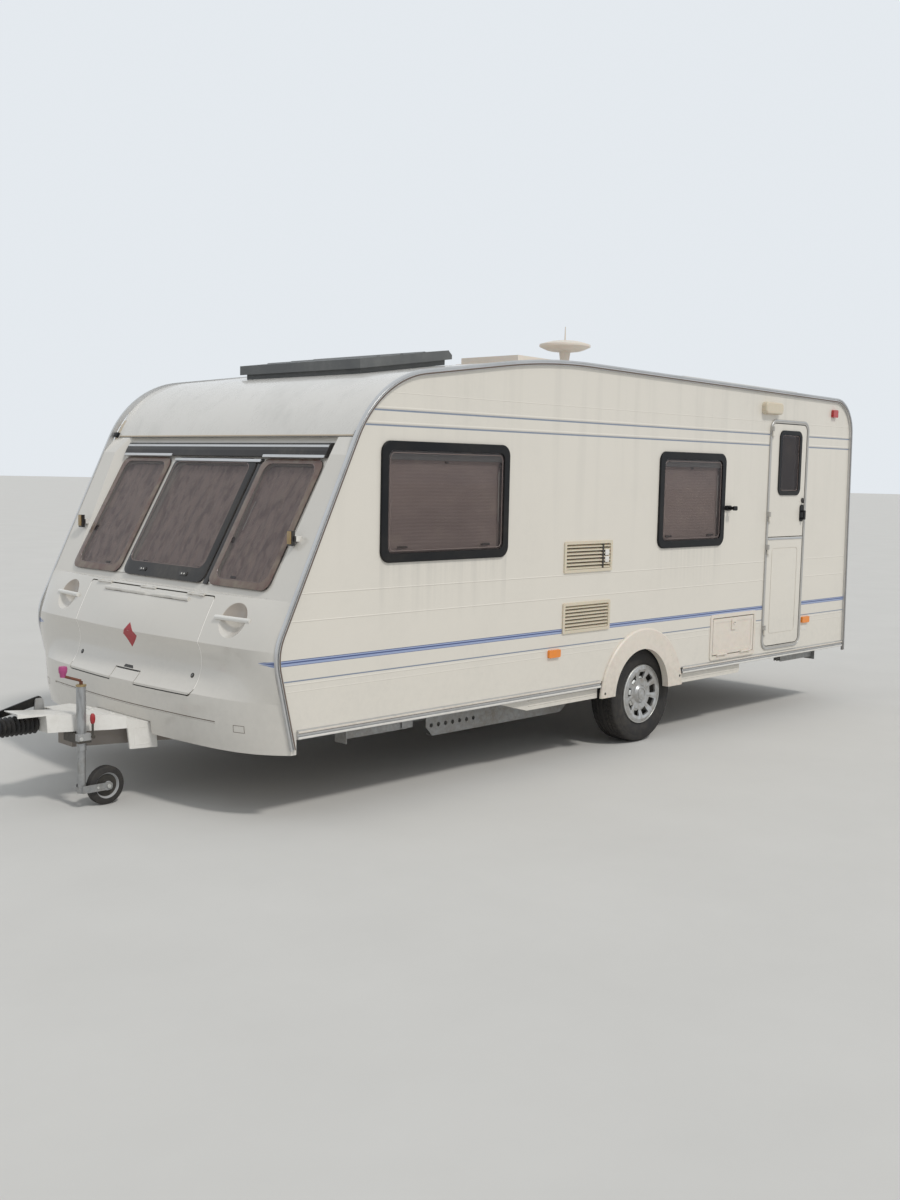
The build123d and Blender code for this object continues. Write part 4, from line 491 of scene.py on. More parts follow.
def publish(name, part, finish, place=None, body="caravan", smooth=35.0):
    """One piece from a part, or from a list of parts, moved to its place. Its normals point outwards, and
    edges sharper than the angle stay sharp."""
    part = joined(part) if isinstance(part, list) else part
    points, faces = placed(part, place) if place is not None else part
    mesh = bpy.data.meshes.new(name)
    mesh.from_pydata(np.asarray(points).tolist(), [], faces)
    shape = bmesh.new()
    shape.from_mesh(mesh)
    bmesh.ops.recalc_face_normals(shape, faces=shape.faces)
    shape.to_mesh(mesh)
    shape.free()
    mesh.materials.append(FINISH[finish])
    piece = bpy.data.objects.new(name, mesh)
    bpy.context.scene.collection.objects.link(piece)
    mesh.polygons.foreach_set("use_smooth", np.ones(len(mesh.polygons), bool))
    if smooth:
        with bpy.context.temp_override(object=piece, selected_editable_objects=[piece]):
            bpy.ops.object.shade_smooth_by_angle(angle=math.radians(smooth))
    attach(piece, body)
    return piece


def sided(name, side):
    return name + ("_door" if side > 0 else "_far")


# Node groups shared by several finishes

class Wiring:
    """Adds nodes to a tree and links them in one call."""

    def __init__(self, tree):
        self.tree = tree

    def feed(self, socket, value):
        """Links the socket to another node's output, or sets it to a constant."""
        if isinstance(value, bpy.types.NodeSocket):
            self.tree.links.new(value, socket)
        elif socket.type == "RGBA":
            socket.default_value = (*value[:3], 1.0)
        else:
            socket.default_value = value

    def add(self, kind, inputs=(), **settings):
        node = self.tree.nodes.new(kind)
        for key, value in settings.items():
            setattr(node, key, value)
        for key, value in dict(inputs).items():
            self.feed(node.inputs[key], value)
        return node

    def math(self, operation, first, second=0.0, clamp=False):
        inputs = {0: first, 1: second}
        return self.add("ShaderNodeMath", inputs, operation=operation, use_clamp=clamp).outputs[0]

    def times(self, *values):
        return reduce(lambda first, second: self.math("MULTIPLY", first, second), values)

    def plus(self, first, second, clamp=False):
        return self.math("ADD", first, second, clamp)

    def minus(self, first, second):
        return self.math("SUBTRACT", first, second)

    def length(self, first, second):
        """Square root of the sum of two squares."""
        return self.math("SQRT", self.plus(self.times(first, first), self.times(second, second)))

    def mix(self, mask, first, second):
        """Colour mix. A mix node's colours are its inputs 6 and 7 and its output 2."""
        return self.add("ShaderNodeMix", {0: mask, 6: first, 7: second}, data_type="RGBA").outputs[2]

    def spread(self, value, low, high):
        """0 below low, 1 above high, a straight line between."""
        node = self.add("ShaderNodeMapRange", {"Value": value, "From Min": low, "From Max": high}, clamp=True)
        return node.outputs["Result"]

    def coords(self, scale=(1, 1, 1)):
        place = self.add("ShaderNodeTexCoord").outputs["Object"]
        return self.add("ShaderNodeMapping", {"Vector": place, "Scale": scale}).outputs["Vector"]

    def axes(self):
        place = self.add("ShaderNodeTexCoord").outputs["Object"]
        return self.add("ShaderNodeSeparateXYZ", {"Vector": place}).outputs

    def noise(self, scale, detail=3.0, roughness=0.5, stretch=(1, 1, 1)):
        inputs = {"Vector": self.coords(stretch), "Scale": scale, "Detail": detail, "Roughness": roughness}
        return self.add("ShaderNodeTexNoise", inputs).outputs["Fac"]

    def patches(self, scale, low, high, stretch=(1, 1, 1), detail=4.0, roughness=0.6):
        """Mask of noise: 0 where it is below low and 1 where it is above high."""
        return self.spread(self.noise(scale, detail, roughness, stretch), low, high)

    def waves(self, scale, axis, distortion=0.0):
        inputs = {"Vector": self.coords(), "Scale": scale, "Distortion": distortion}
        return self.add("ShaderNodeTexWave", inputs, bands_direction=axis).outputs["Fac"]

    def zone(self, **limits):
        """Mask of a box: each axis has a (low, high) pair, and None leaves that side open."""
        mask = 1.0
        for label, (low, high) in limits.items():
            value = self.axes()["xyz".index(label)]
            for operation, limit in (("GREATER_THAN", low), ("LESS_THAN", high)):
                if limit is not None:
                    mask = self.times(self.math(operation, value, limit), mask)
        return mask


def make_group(name, inputs, outputs):
    """Empty node group with named sockets, and its wiring, inputs and outputs."""
    tree = bpy.data.node_groups.new(name, "ShaderNodeTree")
    kinds = {"colour": "NodeSocketColor", "value": "NodeSocketFloat"}
    for way, rows in (("INPUT", inputs), ("OUTPUT", outputs)):
        for label, kind in rows.items():
            tree.interface.new_socket(name=label, in_out=way, socket_type=kinds[kind])
    source, sink = tree.nodes.new("NodeGroupInput"), tree.nodes.new("NodeGroupOutput")
    return tree, Wiring(tree), source.outputs, sink.inputs


def weather_group():
    """Road dirt: soft blotches everywhere, upright streaks that thin out downwards, and dust near the
    ground."""
    tree, wires, given, out = make_group(
        "Weather", {"Color": "colour", "Dirt": "colour", "Blotch": "value", "Streak": "value",
                    "Foot": "value", "Roughness": "value"}, {"Color": "colour", "Roughness": "value"})
    z = wires.axes()[2]
    fine = wires.patches(28.0, 0.40, 0.80, roughness=0.65)
    blotches = wires.times(wires.patches(2.3, 0.45, 0.75, detail=5.0), given["Blotch"], wires.plus(fine, 0.5))
    streaks = wires.patches(9.0, 0.50, 0.78, (1, 1, 0.055))
    runs = wires.times(streaks, wires.spread(z, 1.0, 2.3), given["Streak"])
    low = wires.times(wires.spread(z, 0.95, 0.25), wires.plus(fine, 0.35), given["Foot"])
    mask = wires.plus(wires.plus(blotches, runs), low, clamp=True)
    wires.feed(out["Color"], wires.mix(mask, given["Color"], given["Dirt"]))
    wires.feed(out["Roughness"], wires.plus(given["Roughness"], wires.times(mask, 0.35), clamp=True))
    return tree


def grain_group():
    """Height of a fine moulded grain on top of slow waves, as on pressed or moulded skins."""
    tree, wires, given, out = make_group("Grain", {"Fine": "value", "Wave": "value"}, {"Height": "value"})
    fine = wires.times(wires.noise(420.0, 2.0), given["Fine"])
    wires.feed(out["Height"], wires.plus(fine, wires.times(wires.noise(3.1, 1.0), given["Wave"])))
    return tree


def line_group():
    """Mask of a level painted line: 1 where the height is within the half width of the centre."""
    tree, wires, given, out = make_group(
        "Level Line", {"Height": "value", "Centre": "value", "Half Width": "value"}, {"Mask": "value"})
    gap = wires.math("ABSOLUTE", wires.minus(given["Height"], given["Centre"]))
    inside = wires.math("DIVIDE", wires.minus(given["Half Width"], gap), LINE_SOFT)
    wires.feed(out["Mask"], wires.plus(inside, 0.5, clamp=True))
    return tree


def spangle_group():
    """Zinc coat: a mask of spangles of slightly different grey, and their height."""
    tree, wires, given, out = make_group("Spangles", {}, {"Mask": "value", "Height": "value"})
    cells = wires.add("ShaderNodeTexVoronoi", {"Vector": wires.coords(), "Scale": 75.0}).outputs
    tone = wires.add("ShaderNodeSeparateColor", {"Color": cells["Color"]}).outputs[0]
    wires.feed(out["Mask"], wires.times(tone, 0.5))
    wires.feed(out["Height"], cells["Distance"])
    return tree


def relief_group(name):
    """Height of a regular relief from the table."""
    tree, wires, given, out = make_group(name, {}, {"Height": "value"})
    wires.feed(out["Height"], RELIEFS[name](wires))
    return tree


# Reliefs that two finishes share: cloth, lines along drawn aluminium, upright ribs of a lamp lens
RELIEFS = {
    "Weave": lambda wires: wires.waves(240.0, "Z", 0.6),
    "Drawn Lines": lambda wires: wires.noise(40.0, 3.0, stretch=(2, 60, 60)),
    "Ribs": lambda wires: wires.waves(90.0, "X"),
}
GROUPS = {}


def group(name):
    """The node group of that name, made when it is first asked for."""
    makers = {"Weather": weather_group, "Grain": grain_group, "Level Line": line_group,
              "Spangles": spangle_group}
    if name not in GROUPS:
        GROUPS[name] = relief_group(name) if name in RELIEFS else makers[name]()
    return GROUPS[name]


class Finish:
    """One material: a Principled shader fed by weathered colour, roughness and grain."""

    def __init__(self, name, colour, roughness, shader=()):
        self.material = bpy.data.materials.new(name)
        self.material.use_nodes = True
        self.wires = Wiring(self.material.node_tree)
        self.wires.tree.nodes.clear()
        self.shader = self.wires.add("ShaderNodeBsdfPrincipled", shader)
        self.wires.add("ShaderNodeOutputMaterial", {"Surface": self.shader.outputs[0]})
        self.roughness = roughness
        self.put("Roughness", roughness)
        self.put_colour(COLOURS[colour])

    def put(self, label, value):
        self.wires.feed(self.shader.inputs[label], value)

    def put_colour(self, value):
        self.colour = value
        self.put("Base Color", value)

    def tint(self, mask, colour):
        """Lays another colour over the present one where the mask is 1."""
        self.put_colour(self.wires.mix(mask, self.colour, COLOURS[colour]))

    def zone(self, colour, **limits):
        """Lays another colour over a box of the Object coordinates."""
        self.tint(self.wires.zone(**limits), colour)

    def grouped(self, name, inputs):
        return self.wires.add("ShaderNodeGroup", inputs, node_tree=group(name)).outputs

    def line(self, height, half):
        """Mask of a level painted line."""
        inputs = {"Height": self.wires.axes()[2], "Centre": height, "Half Width": half}
        return self.grouped("Level Line", inputs)["Mask"]

    def weather(self, dirt, blotch, streak, foot):
        inputs = {"Color": self.colour, "Dirt": COLOURS[dirt], "Blotch": blotch, "Streak": streak,
                  "Foot": foot, "Roughness": self.roughness}
        made = self.grouped("Weather", inputs)
        self.put_colour(made["Color"])
        self.put("Roughness", made["Roughness"])

    def bump(self, height, strength, distance):
        inputs = {"Height": height, "Strength": strength, "Distance": distance}
        self.put("Normal", self.wires.add("ShaderNodeBump", inputs).outputs["Normal"])

    def grain(self, fine, wave, strength, distance):
        self.bump(self.grouped("Grain", {"Fine": fine, "Wave": wave})["Height"], strength, distance)


# Painters. Each lays its own colours on a finish; the ones with a relief of their own give its height.

def wall_lines(made):
    """Coach lines and painted shade in grey streaks under the windows on the outer faces, the lining's colour on
    the inner ones.
    """
    wires = made.wires
    x, y, z = wires.axes()
    lean = (OUTLINE[4][0] - OUTLINE[5][0]) / (OUTLINE[4][1] - OUTLINE[5][1])
    rear = wires.plus(wires.times(z, lean), at(OUTLINE[5][0]) - OUTLINE[5][1] * lean + 0.012)
    side = wires.math("GREATER_THAN", wires.math("ABSOLUTE", y), WALL_Y - 0.006)
    outside = wires.math("MAXIMUM", side, wires.math("LESS_THAN", x, rear))
    for height, half, colour in LINES:
        made.tint(wires.times(made.line(height, half), outside), colour)
    # Painted shade in grey streaks under the side windows.
    made.tint(window_shade_streaks(wires), "grey_dirt")
    made.tint(wires.minus(1.0, outside), "lining")


def window_shade_streaks(wires):
    """Mask of painted shade in faint upright streaks under the side windows: 1 at a window's foot, fading over the
    next 0.35 m.
    """
    z = wires.axes()[2]
    runs = wires.patches(16.0, 0.42, 0.80, (1, 1, 0.05), 3.0)
    total = 0.0
    for side, front, rear, low, high in WALL_WINDOWS:
        half = (0, None) if side > 0 else (None, 0)
        box = wires.zone(x=(at(rear), at(front)), y=half, z=(None, low + 0.02))
        total = wires.plus(wires.times(box, wires.spread(z, low - 0.35, low), runs), total)
    return wires.times(total, 0.30)


def moulding_lines(made):
    """Coach lines that run a little way round the corners and end in points, and painted shade in the hand
    recesses: strong above the bar and weak below it."""
    wires = made.wires
    x, y, z = wires.axes()
    out = wires.math("ABSOLUTE", y)
    limit = wires.times(wires.spread(x, at(2.72), at(2.73)), wires.spread(out, 1.030, 1.034))
    taper = wires.spread(out, 1.030, 1.115)
    for height, half, colour in LINES[2:6]:
        mask = made.line(BAND_Z + (height - BAND_Z) * 0.6, wires.times(taper, half))
        made.tint(wires.times(mask, limit), colour)
    # Painted shade in the hand recesses: strong in their upper part above the bar, weak below it.
    up = wires.times(wires.minus(z, HANDLE_Z), 1.2)
    radius = wires.length(wires.minus(out, HANDLE_Y), up)
    share = wires.plus(wires.times(wires.spread(up, -0.004, 0.004), 0.60), 0.15)
    made.tint(wires.times(wires.spread(radius, RECESS_R, RECESS_R - 0.004), share), "dish")


def smears(made):
    """Smears that dull a tinted pane here and there."""
    smear = made.wires.noise(9.0, 4.0, 0.6)
    made.put("Roughness", made.wires.spread(smear, 0.30, 4.0))
    made.tint(made.wires.spread(smear, 0.55, 1.8), "dust")


def weave(made, scale, low, high, stretch):
    """Plain weave, with streaks drawn out by the stretch; the folds are in the mesh."""
    made.tint(made.wires.patches(scale, low, high, stretch), "cloth_dark")
    return made.grouped("Weave", {})["Height"]


def drawn_lines(made):
    """Fine lines along the length of drawn aluminium."""
    return made.grouped("Drawn Lines", {})["Height"]


def spangles(made):
    """Zinc coat: spangles of slightly different grey."""
    cells = made.grouped("Spangles", {})
    made.tint(cells["Mask"], "dark_zinc")
    return cells["Height"]


def drawbar(made):
    """Galvanised members; the drawbar in front is duller and browner."""
    height = spangles(made)
    made.zone("drawbar", x=(at(2.9), None))
    return height


def marker_zones(made):
    """Front markers: black lamp on a white bracket. Side markers orange, high rear markers red."""
    made.zone("marker_white", x=(at(2.6), None))
    made.zone("clip", x=(at(MARKER_X + 0.0295), None))
    made.zone("red", z=(2.1, None))


def jockey_zones(made):
    """Galvanised tube with a brassy rim, a rusty crank arm above it, and scuffs."""
    made.zone("brass", z=(TUBE_HIGH - 0.007, None))
    made.zone("rust", z=(TUBE_HIGH + 0.002, None))
    made.tint(made.wires.times(made.wires.patches(60.0, 0.48, 0.72, (1, 1, 0.2)), 0.5), "inside")


def wheel_rings(made):
    """Black solid tyre round a grey pressed disc with a lighter ring."""
    wires = made.wires
    x, y, z = wires.axes()
    radius = wires.length(wires.minus(x, at(JOCKEY_X - JOCKEY_TRAIL)), wires.minus(z, JOCKEY_WHEEL_R))
    for edge, colour in ((0.066, "zinc"), (0.058, "dark_steel"), (0.024, "zinc")):
        made.tint(wires.spread(radius, edge + 0.0005, edge - 0.0005), colour)


def ribs(made):
    """Upright ribs of a lamp lens."""
    return made.grouped("Ribs", {})["Height"]


def lamp_fields(made):
    """Rear cluster: red, with an amber field above and a clear one below the middle."""
    made.zone("amber", z=(0.895, 1.2))
    made.zone("lens", z=(0.745, 0.795))
    return made.wires.waves(80.0, "Z")


def wood_rings(made):
    rings = made.wires.noise(6.0, 6.0, 0.6, (0.6, 14, 14))
    made.tint(made.wires.spread(rings, 0.35, 0.75), "dark_plywood")
    return rings


def solar_grid(made):
    """Dark cells of a 126 mm pitch in a silver grid, inside a pale frame."""
    wires = made.wires
    axes = wires.axes()
    low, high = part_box("solar_panel")
    rim, half_pitch = 0.028, 0.063
    inside = wires.zone(x=(low.x + rim, high.x - rim), y=(low.y + rim, high.y - rim))
    cells = []
    for n in (0, 1):
        place = wires.minus(axes[n], low[n] + rim)
        cells.append(wires.math("GREATER_THAN", wires.math("PINGPONG", place, half_pitch), 0.0018))
    made.tint(inside, "cell_grid")
    made.tint(wires.times(inside, *cells), "cell")


def worn_silver(made):
    """Dull brownish patches on a painted wheel trim."""
    made.tint(made.wires.patches(26.0, 0.42, 0.78, detail=5.0), "dull_silver")


def coat(weight, roughness, **more):
    return {"Coat Weight": weight, "Coat Roughness": roughness, **more}


SPECULAR = "Specular IOR Level"
CLOTH = ("cloth", 0.85, {"Sheen Weight": 0.25}, None, (0.25, 0.0006))
IVORY = (0.42, {"Subsurface Weight": 0.05}, ("dirt", 0.16, 0.10, 0.25), (0.5, 0.4, 0.2, 0.0006))
DRAWN = (0.34, {"Metallic": 0.9}, ("grey_dirt", 0.25, 0.1, 0.2), (0.12, 0.0006), drawn_lines)
LENS = (0.16, coat(0.6, 0.05), ("dirt", 0.12, 0.0, 0.1), (0.3, 0.0012), ribs)
HATCH = (0.5, {}, ("grey_dirt", 0.45, 0.1, 0.1), (0.6, 0.6, 0.3, 0.0008))

# Columns: material, colour, roughness, other shader inputs, weather (dirt, blotch, streak, foot), relief
# (fine grain, waves, strength, depth; or strength and depth where the painter gives the height), painter
FINISHES = {
    "wall": ("wall_paint", "wall", 0.34, coat(0.15, 0.2), ("grey_dirt", 0.07, 0.16, 0.10),
             (0.05, 1.0, 0.35, 0.004), wall_lines),
    "moulding": ("moulding_gloss", "moulding", 0.2, coat(0.5, 0.06), ("grey_dirt", 0.07, 0.10, 0.12),
                 (0.02, 1.0, 0.12, 0.004), moulding_lines),
    "door": ("door_paint", "wall", 0.36, coat(0.1, 0.2), ("grey_dirt", 0.08, 0.14, 0.18),
             (0.12, 1.0, 0.2, 0.003)),
    "roof": ("roof_gloss", "roof", 0.26, coat(0.4, 0.1), ("grey_dirt", 0.22, 0.20, 0.0),
             (0.03, 1.0, 0.15, 0.004)),
    "ivory": ("ivory_plastic", "ivory", *IVORY),
    "cream": ("cream_plastic", "cream", *IVORY),
    "rubber": ("black_rubber", "black", 0.42, {SPECULAR: 0.25}, ("dust", 0.05, 0.0, 0.06),
               (0.7, 0.5, 0.25, 0.0006)),
    "black": ("black_plastic", "rubber", 0.36, {SPECULAR: 0.2}, ("dust", 0.04, 0.0, 0.06),
              (0.8, 0.0, 0.25, 0.0005)),
    "acrylic": ("tinted_acrylic", "tint", 0.07, {"Alpha": 0.36, "IOR": 1.49}, None,
                (0.0, 1.0, 0.10, 0.002), smears),
    "pink_acrylic": ("pink_acrylic", "pink_tint", 0.12, {"Alpha": 0.85}, None, (0.0, 1.0, 0.1, 0.001),
                     lambda made: made.tint(made.wires.patches(14.0, 0.35, 0.9), "dirt")),
    "cloth": ("blind_cloth", *CLOTH, lambda made: weave(made, 22.0, 0.46, 0.64, (1, 1, 0.04))),
    "blind": ("pleated_cloth", *CLOTH, lambda made: weave(made, 3.0, 0.42, 0.95, (0.5, 0.5, 1.5))),
    "alu": ("aluminium", "alu", *DRAWN),
    "steel": ("bright_steel", "lens", *DRAWN),
    "zinc": ("galvanised", "zinc", 0.48, {"Metallic": 0.75}, ("dirt", 0.35, 0.0, 0.35),
             (0.06, 0.0006), spangles),
    "chassis": ("chassis_steel", "zinc", 0.5, {"Metallic": 0.6}, ("dirt", 0.4, 0.0, 0.35),
                (0.06, 0.0006), drawbar),
    "tyre": ("tyre_rubber", "tyre", 0.72, {SPECULAR: 0.25}, ("dust", 0.06, 0.0, 0.04),
             (1.0, 0.6, 0.35, 0.0008)),
    "old_amber": ("aged_lens", "old_amber", *LENS),
    "red": ("red_lens", "red", *LENS),
    "rear": ("rear_lens", "red", 0.16, coat(0.6, 0.05), ("dirt", 0.1, 0.0, 0.1), (0.25, 0.0012), lamp_fields),
    "plywood": ("plywood", "plywood", 0.7, {}, ("dirt", 0.5, 0.0, 0.3), (0.2, 0.001), wood_rings),
    "cells": ("solar_cells", "lens", 0.25, coat(0.5, 0.05), ("dust", 0.2, 0.0, 0.0), (0.0, 1.0, 0.1, 0.001),
              solar_grid),
    "hatch": ("hatch_grey", "hatch", *HATCH),
    "hatch_side": ("hatch_side_grey", "hatch_side", *HATCH),
    "marker": ("marker_body", "amber", 0.2, coat(0.5, 0.08), ("dirt", 0.12, 0.0, 0.1),
               (0.3, 0.2, 0.15, 0.0005), marker_zones),
    "jockey": ("jockey_steel", "zinc", 0.45, {"Metallic": 0.7}, ("dirt", 0.3, 0.0, 0.2),
               (0.3, 0.4, 0.15, 0.0005), jockey_zones),
    "clamp": ("clamp_steel", "dark_steel", 0.45, {"Metallic": 0.3}, ("dirt", 0.3, 0.0, 0.3),
              (0.5, 0.4, 0.2, 0.0005),
              lambda made: made.zone("zinc", y=(JOCKEY_Y + 0.004, JOCKEY_Y + 0.036), z=(0.35, 0.386))),
    "coupling": ("coupling_steel", "zinc", 0.5, {"Metallic": 0.4}, ("dirt", 0.35, 0.0, 0.2),
                 (0.5, 0.5, 0.25, 0.0006),
                 lambda made: made.zone("clip", x=(at(BALL_X - 0.23), None), z=(0.462, None))),
    "jockey_rubber": ("jockey_rubber", "tyre", 0.65, {SPECULAR: 0.3}, ("dust", 0.08, 0.0, 0.06),
                      (0.8, 0.5, 0.3, 0.0006), wheel_rings),
    "trim": ("trim_silver", "silver", 0.32, coat(0.2, 0.2, Metallic=0.6), ("dirt", 0.22, 0.0, 0.10),
             (0.3, 0.4, 0.15, 0.0006), worn_silver),
    # Brown: inserts, outlines and lines, and also painted shade at the front groove and under the lid's bar.
    "brown": ("brown_insert", "brown", 0.6),
    "beige": ("beige_insert", "beige", 0.6),
    "pink": ("pink_knob", "knob", 0.4),
    "clamp_red": ("red_grip", "clamp_red", 0.4),
    "diamond": ("red_diamond", "clamp_red", 0.3),
    "frame_alu": ("frame_grey", "frame_alu", 0.4),
    "dark_steel": ("dark_steel", "dark_steel", 0.5),
    "seam": ("pane_seam", "seam", 0.2),
    "border": ("black_border", "clip", 0.12, {SPECULAR: 0.3}),
    "white": ("white_plastic", "marker_white", 0.35),
    "cover": ("cover_white", "cover", 0.3),
    "seal": ("seal_white", "seal", 0.3),
    "grip": ("rubber_grip", "clip", 0.6),
    "plate": ("blank_plate", "plate", 0.3),
    # Dark inside: also serves as painted shade on the sheet behind the vents.
    "inside": ("dark_inside", "inside", 0.8),
    "fitting": ("black_fitting", "clip", 0.3),
    "brass": ("brass_rim", "brass", 0.35, {"Metallic": 0.7}),
}


def make_finish(name, colour, roughness, shader=(), weather=("dirt", 0.18, 0.0, 0.15),
                relief=(0.5, 0.3, 0.2, 0.0005), painter=None):
    """Material from a row of the table."""
    made = Finish(name, colour, roughness, shader)
    height = painter(made) if painter else None
    if weather:
        made.weather(*weather)
    if height is None:
        made.grain(*relief)
    else:
        made.bump(height, *relief)
    return made.material


# Which finish each CAD node wears, by its material slot, with the exceptions by node
BY_SLOT = {
    "white_panel": "wall", "white_moulding": "moulding", "cream_plastic": "ivory", "black_rubber": "rubber",
    "black_plastic": "black", "tinted_glass": "acrylic", "blind_cloth": "cloth", "aluminium_trim": "alu",
    "galvanised_steel": "zinc", "tyre_rubber": "tyre", "rim_steel": "dark_steel", "wheel_silver": "trim",
    "floor_board": "plywood", "solar_glass": "cells", "hatch_grey": "hatch", "amber_lens": "marker",
    "red_lens": "rear",
}
BY_NODE = {
    "roof_panel": "roof", "door_lower_leaf": "door", "door_upper_leaf": "door", "door_frame": "frame_alu",
    "skirt_panels": "door", "fridge_vents": "cream", "awning_lamp": "cream", "service_hatches": "ivory",
    "jockey_tube": "jockey", "jockey_clamp": "clamp", "chassis_frame": "chassis", "coupling_head": "coupling",
    "jockey_wheel": "jockey_rubber", "front_window_rail": "border", "hitch_cover": "cover",
    "window_frames": "black", "door_window": "black", "grab_handles": "cover",
}


# Pieces

def rail_line(inset, side):
    """The side outline drawn in by inset, as points on the outer face of a rail."""
    line = rounded_line(OUTLINE)
    along = np.gradient(line, axis=0)
    along /= np.linalg.norm(along, axis=1, keepdims=True)
    line = line + np.stack([-along[:, 1], along[:, 0]], axis=1) * inset
    return np.column_stack([at(line[:, 0]), np.full(len(line), side * RAIL_Y), line[:, 1]])


def wall_span(z):
    """Front and rear end of the wall between its awning rails at a height, from the wheel hubs."""
    line = rounded_line(OUTLINE)
    peak = int(np.argmax(line[:, 1]))
    front = np.interp(z, line[:peak, 1], line[:peak, 0])
    rear = np.interp(z, line[peak:, 1][::-1], line[peak:, 0][::-1])
    return front - SWAGE_IN_FRONT, rear + SWAGE_IN_REAR


def wall_gaps(z, side):
    """Stretches of a side wall at a height that windows, doors and hatches take up."""
    boxes = [row[1:] for row in WALL_WINDOWS if row[0] == side]
    if side > 0:
        boxes += [(DOOR_FRONT, DOOR_REAR, DOOR_LOW, DOOR_HIGH), *VENTS]
        boxes += [(FLAP_MID + FLAP_HALF, FLAP_MID - FLAP_HALF, FLAP_LOW, FLAP_HIGH)]
    else:
        boxes += HATCHES
    gaps = [(front, rear) for front, rear, low, high in boxes if low < z < high]
    rise = z - ARCH_Z
    if 0 < rise < ARCH_R:
        reach = math.sqrt(ARCH_R ** 2 - rise ** 2)
        gaps.append((ARCH_X + reach, ARCH_X - reach))
    return sorted(gaps, reverse=True)


def wall_run(profile, front, rear, z, side, face=WALL_Y):
    """A profile carried level along a side wall at a distance from the middle plane."""
    path = [(at(x), side * face, z) for x in (front, (front + rear) / 2, rear)]
    return carried(profile, path, (0, side, 0))


def swage_lines(side):
    """Shallow pressed ribs along one side wall, broken where something is fitted."""
    parts = []
    for z, half, proud in SWAGES:
        front, rear = wall_span(z)
        for gap_front, gap_rear in wall_gaps(z, side) + [(rear, rear)]:
            start, end = front, gap_front + SWAGE_CLEAR
            front = gap_rear - SWAGE_CLEAR
            if start - end > SWAGE_SHORTEST:
                parts.append(wall_run(lens(half, proud), start, end, z, side))
    return parts


class CARAVAN_OT_stage(bpy.types.Operator):
    """Camera at the photograph's place, soft light and a pale floor"""
    bl_idname = "caravan.stage"
    bl_label = "Stage"

    def execute(self, context):
        stage = SETTINGS.stage
        camera = bpy.data.objects.new("view", bpy.data.cameras.new("view"))
        context.scene.collection.objects.link(camera)
        yaw, pitch, roll = (math.radians(a) for a in stage.camera_turn)
        ahead = Vector((math.cos(yaw) * math.cos(pitch), math.sin(yaw) * math.cos(pitch), math.sin(pitch)))
        level = ahead.cross(Vector((0, 0, 1))).normalized()
        rise = level.cross(ahead)
        right = level * math.cos(roll) + rise * math.sin(roll)
        up = rise * math.cos(roll) - level * math.sin(roll)
        place = Matrix.Translation(stage.camera_place)
        camera.matrix_world = place @ Matrix((right, up, -ahead)).transposed().to_4x4()
        camera.data.lens = stage.camera_lens
        camera.data.clip_end = 500.0
        context.scene.camera = camera
        self.sun(context, stage)
        self.sky(context, stage)
        self.floor(context)
        return {"FINISHED"}

    def sun(self, context, stage):
        sun = bpy.data.lights.new("high_sun", "SUN")
        sun.energy = stage.sun_strength
        sun.angle = math.radians(7.0)
        sun.color = (1.0, 0.97, 0.92)
        lamp = bpy.data.objects.new("high_sun", sun)
        lamp.rotation_mode = "QUATERNION"
        lamp.rotation_quaternion = Vector(stage.sun_from).to_track_quat("Z", "Y")
        context.scene.collection.objects.link(lamp)

    def sky(self, context, stage):
        """Even light, with a plain pale sky where the camera, a reflection or a clear pane sees it."""
        world = bpy.data.worlds.new("soft_sky")
        world.use_nodes = True
        context.scene.world = world
        wires = Wiring(world.node_tree)
        world.node_tree.nodes.clear()
        path = wires.add("ShaderNodeLightPath").outputs
        seen = wires.plus(path["Is Camera Ray"], path["Is Glossy Ray"])
        seen = wires.plus(seen, path["Is Transmission Ray"], clamp=True)
        lights = []
        for name, strength in (("soft_light", stage.sky_strength), ("sky", 1.0)):
            light = wires.add("ShaderNodeBackground", {"Color": COLOURS[name], "Strength": strength})
            lights.append(light.outputs[0])
        mix = wires.add("ShaderNodeMixShader", {0: seen, 1: lights[0], 2: lights[1]})
        wires.add("ShaderNodeOutputWorld", {"Surface": mix.outputs[0]})
        context.scene.view_settings.view_transform = "Standard"

    def floor(self, context):
        sides = 96
        angle = ring_angles(sides)
        rings = [np.column_stack([r * np.cos(angle), r * np.sin(angle), np.zeros(sides)])
                 for r in (140.0, 12.0, 0.5)]
        points, faces = skin(rings, caps=False)
        faces.append(list(range(2 * sides, 3 * sides)))
        mesh = bpy.data.meshes.new("floor")
        mesh.from_pydata(points.tolist(), [], faces)
        floor = bpy.data.objects.new("floor", mesh)
        context.scene.collection.objects.link(floor)
        made = Finish("floor", "floor", 0.9)
        made.tint(made.wires.patches(1.3, 0.3, 1.2, detail=6.0), "dark_floor")
        mesh.materials.append(made.material)


class CARAVAN_OT_finishes(bpy.types.Operator):
    """Finish of every CAD node"""
    bl_idname = "caravan.finishes"
    bl_label = "Finishes"

    def execute(self, context):
        FINISH.update({key: make_finish(*row) for key, row in FINISHES.items()})
        slots = {row["node"]: row["material_slot"] for row in frame["record"]["subparts"]}
        for name, node in frame["nodes"].items():
            finish = FINISH[BY_NODE.get(name, BY_SLOT[slots[name]])]
            if not node.material_slots:
                node.data.materials.append(finish)
            for place in node.material_slots:
                place.material = finish
        return {"FINISHED"}


class CARAVAN_OT_side_lines(bpy.types.Operator):
    """Swages along the side walls and inserts in the rails"""
    bl_idname = "caravan.side_lines"
    bl_label = "Side lines"

    def execute(self, context):
        for side in (1, -1):
            publish(sided("swages", side), swage_lines(side), "wall")
            strip = carried(lens(0.0042, 0.0012), rail_line(RAIL_INSERT, side), (0, side, 0))
            publish(sided("rail_insert", side), strip, "brown")
        return {"FINISHED"}


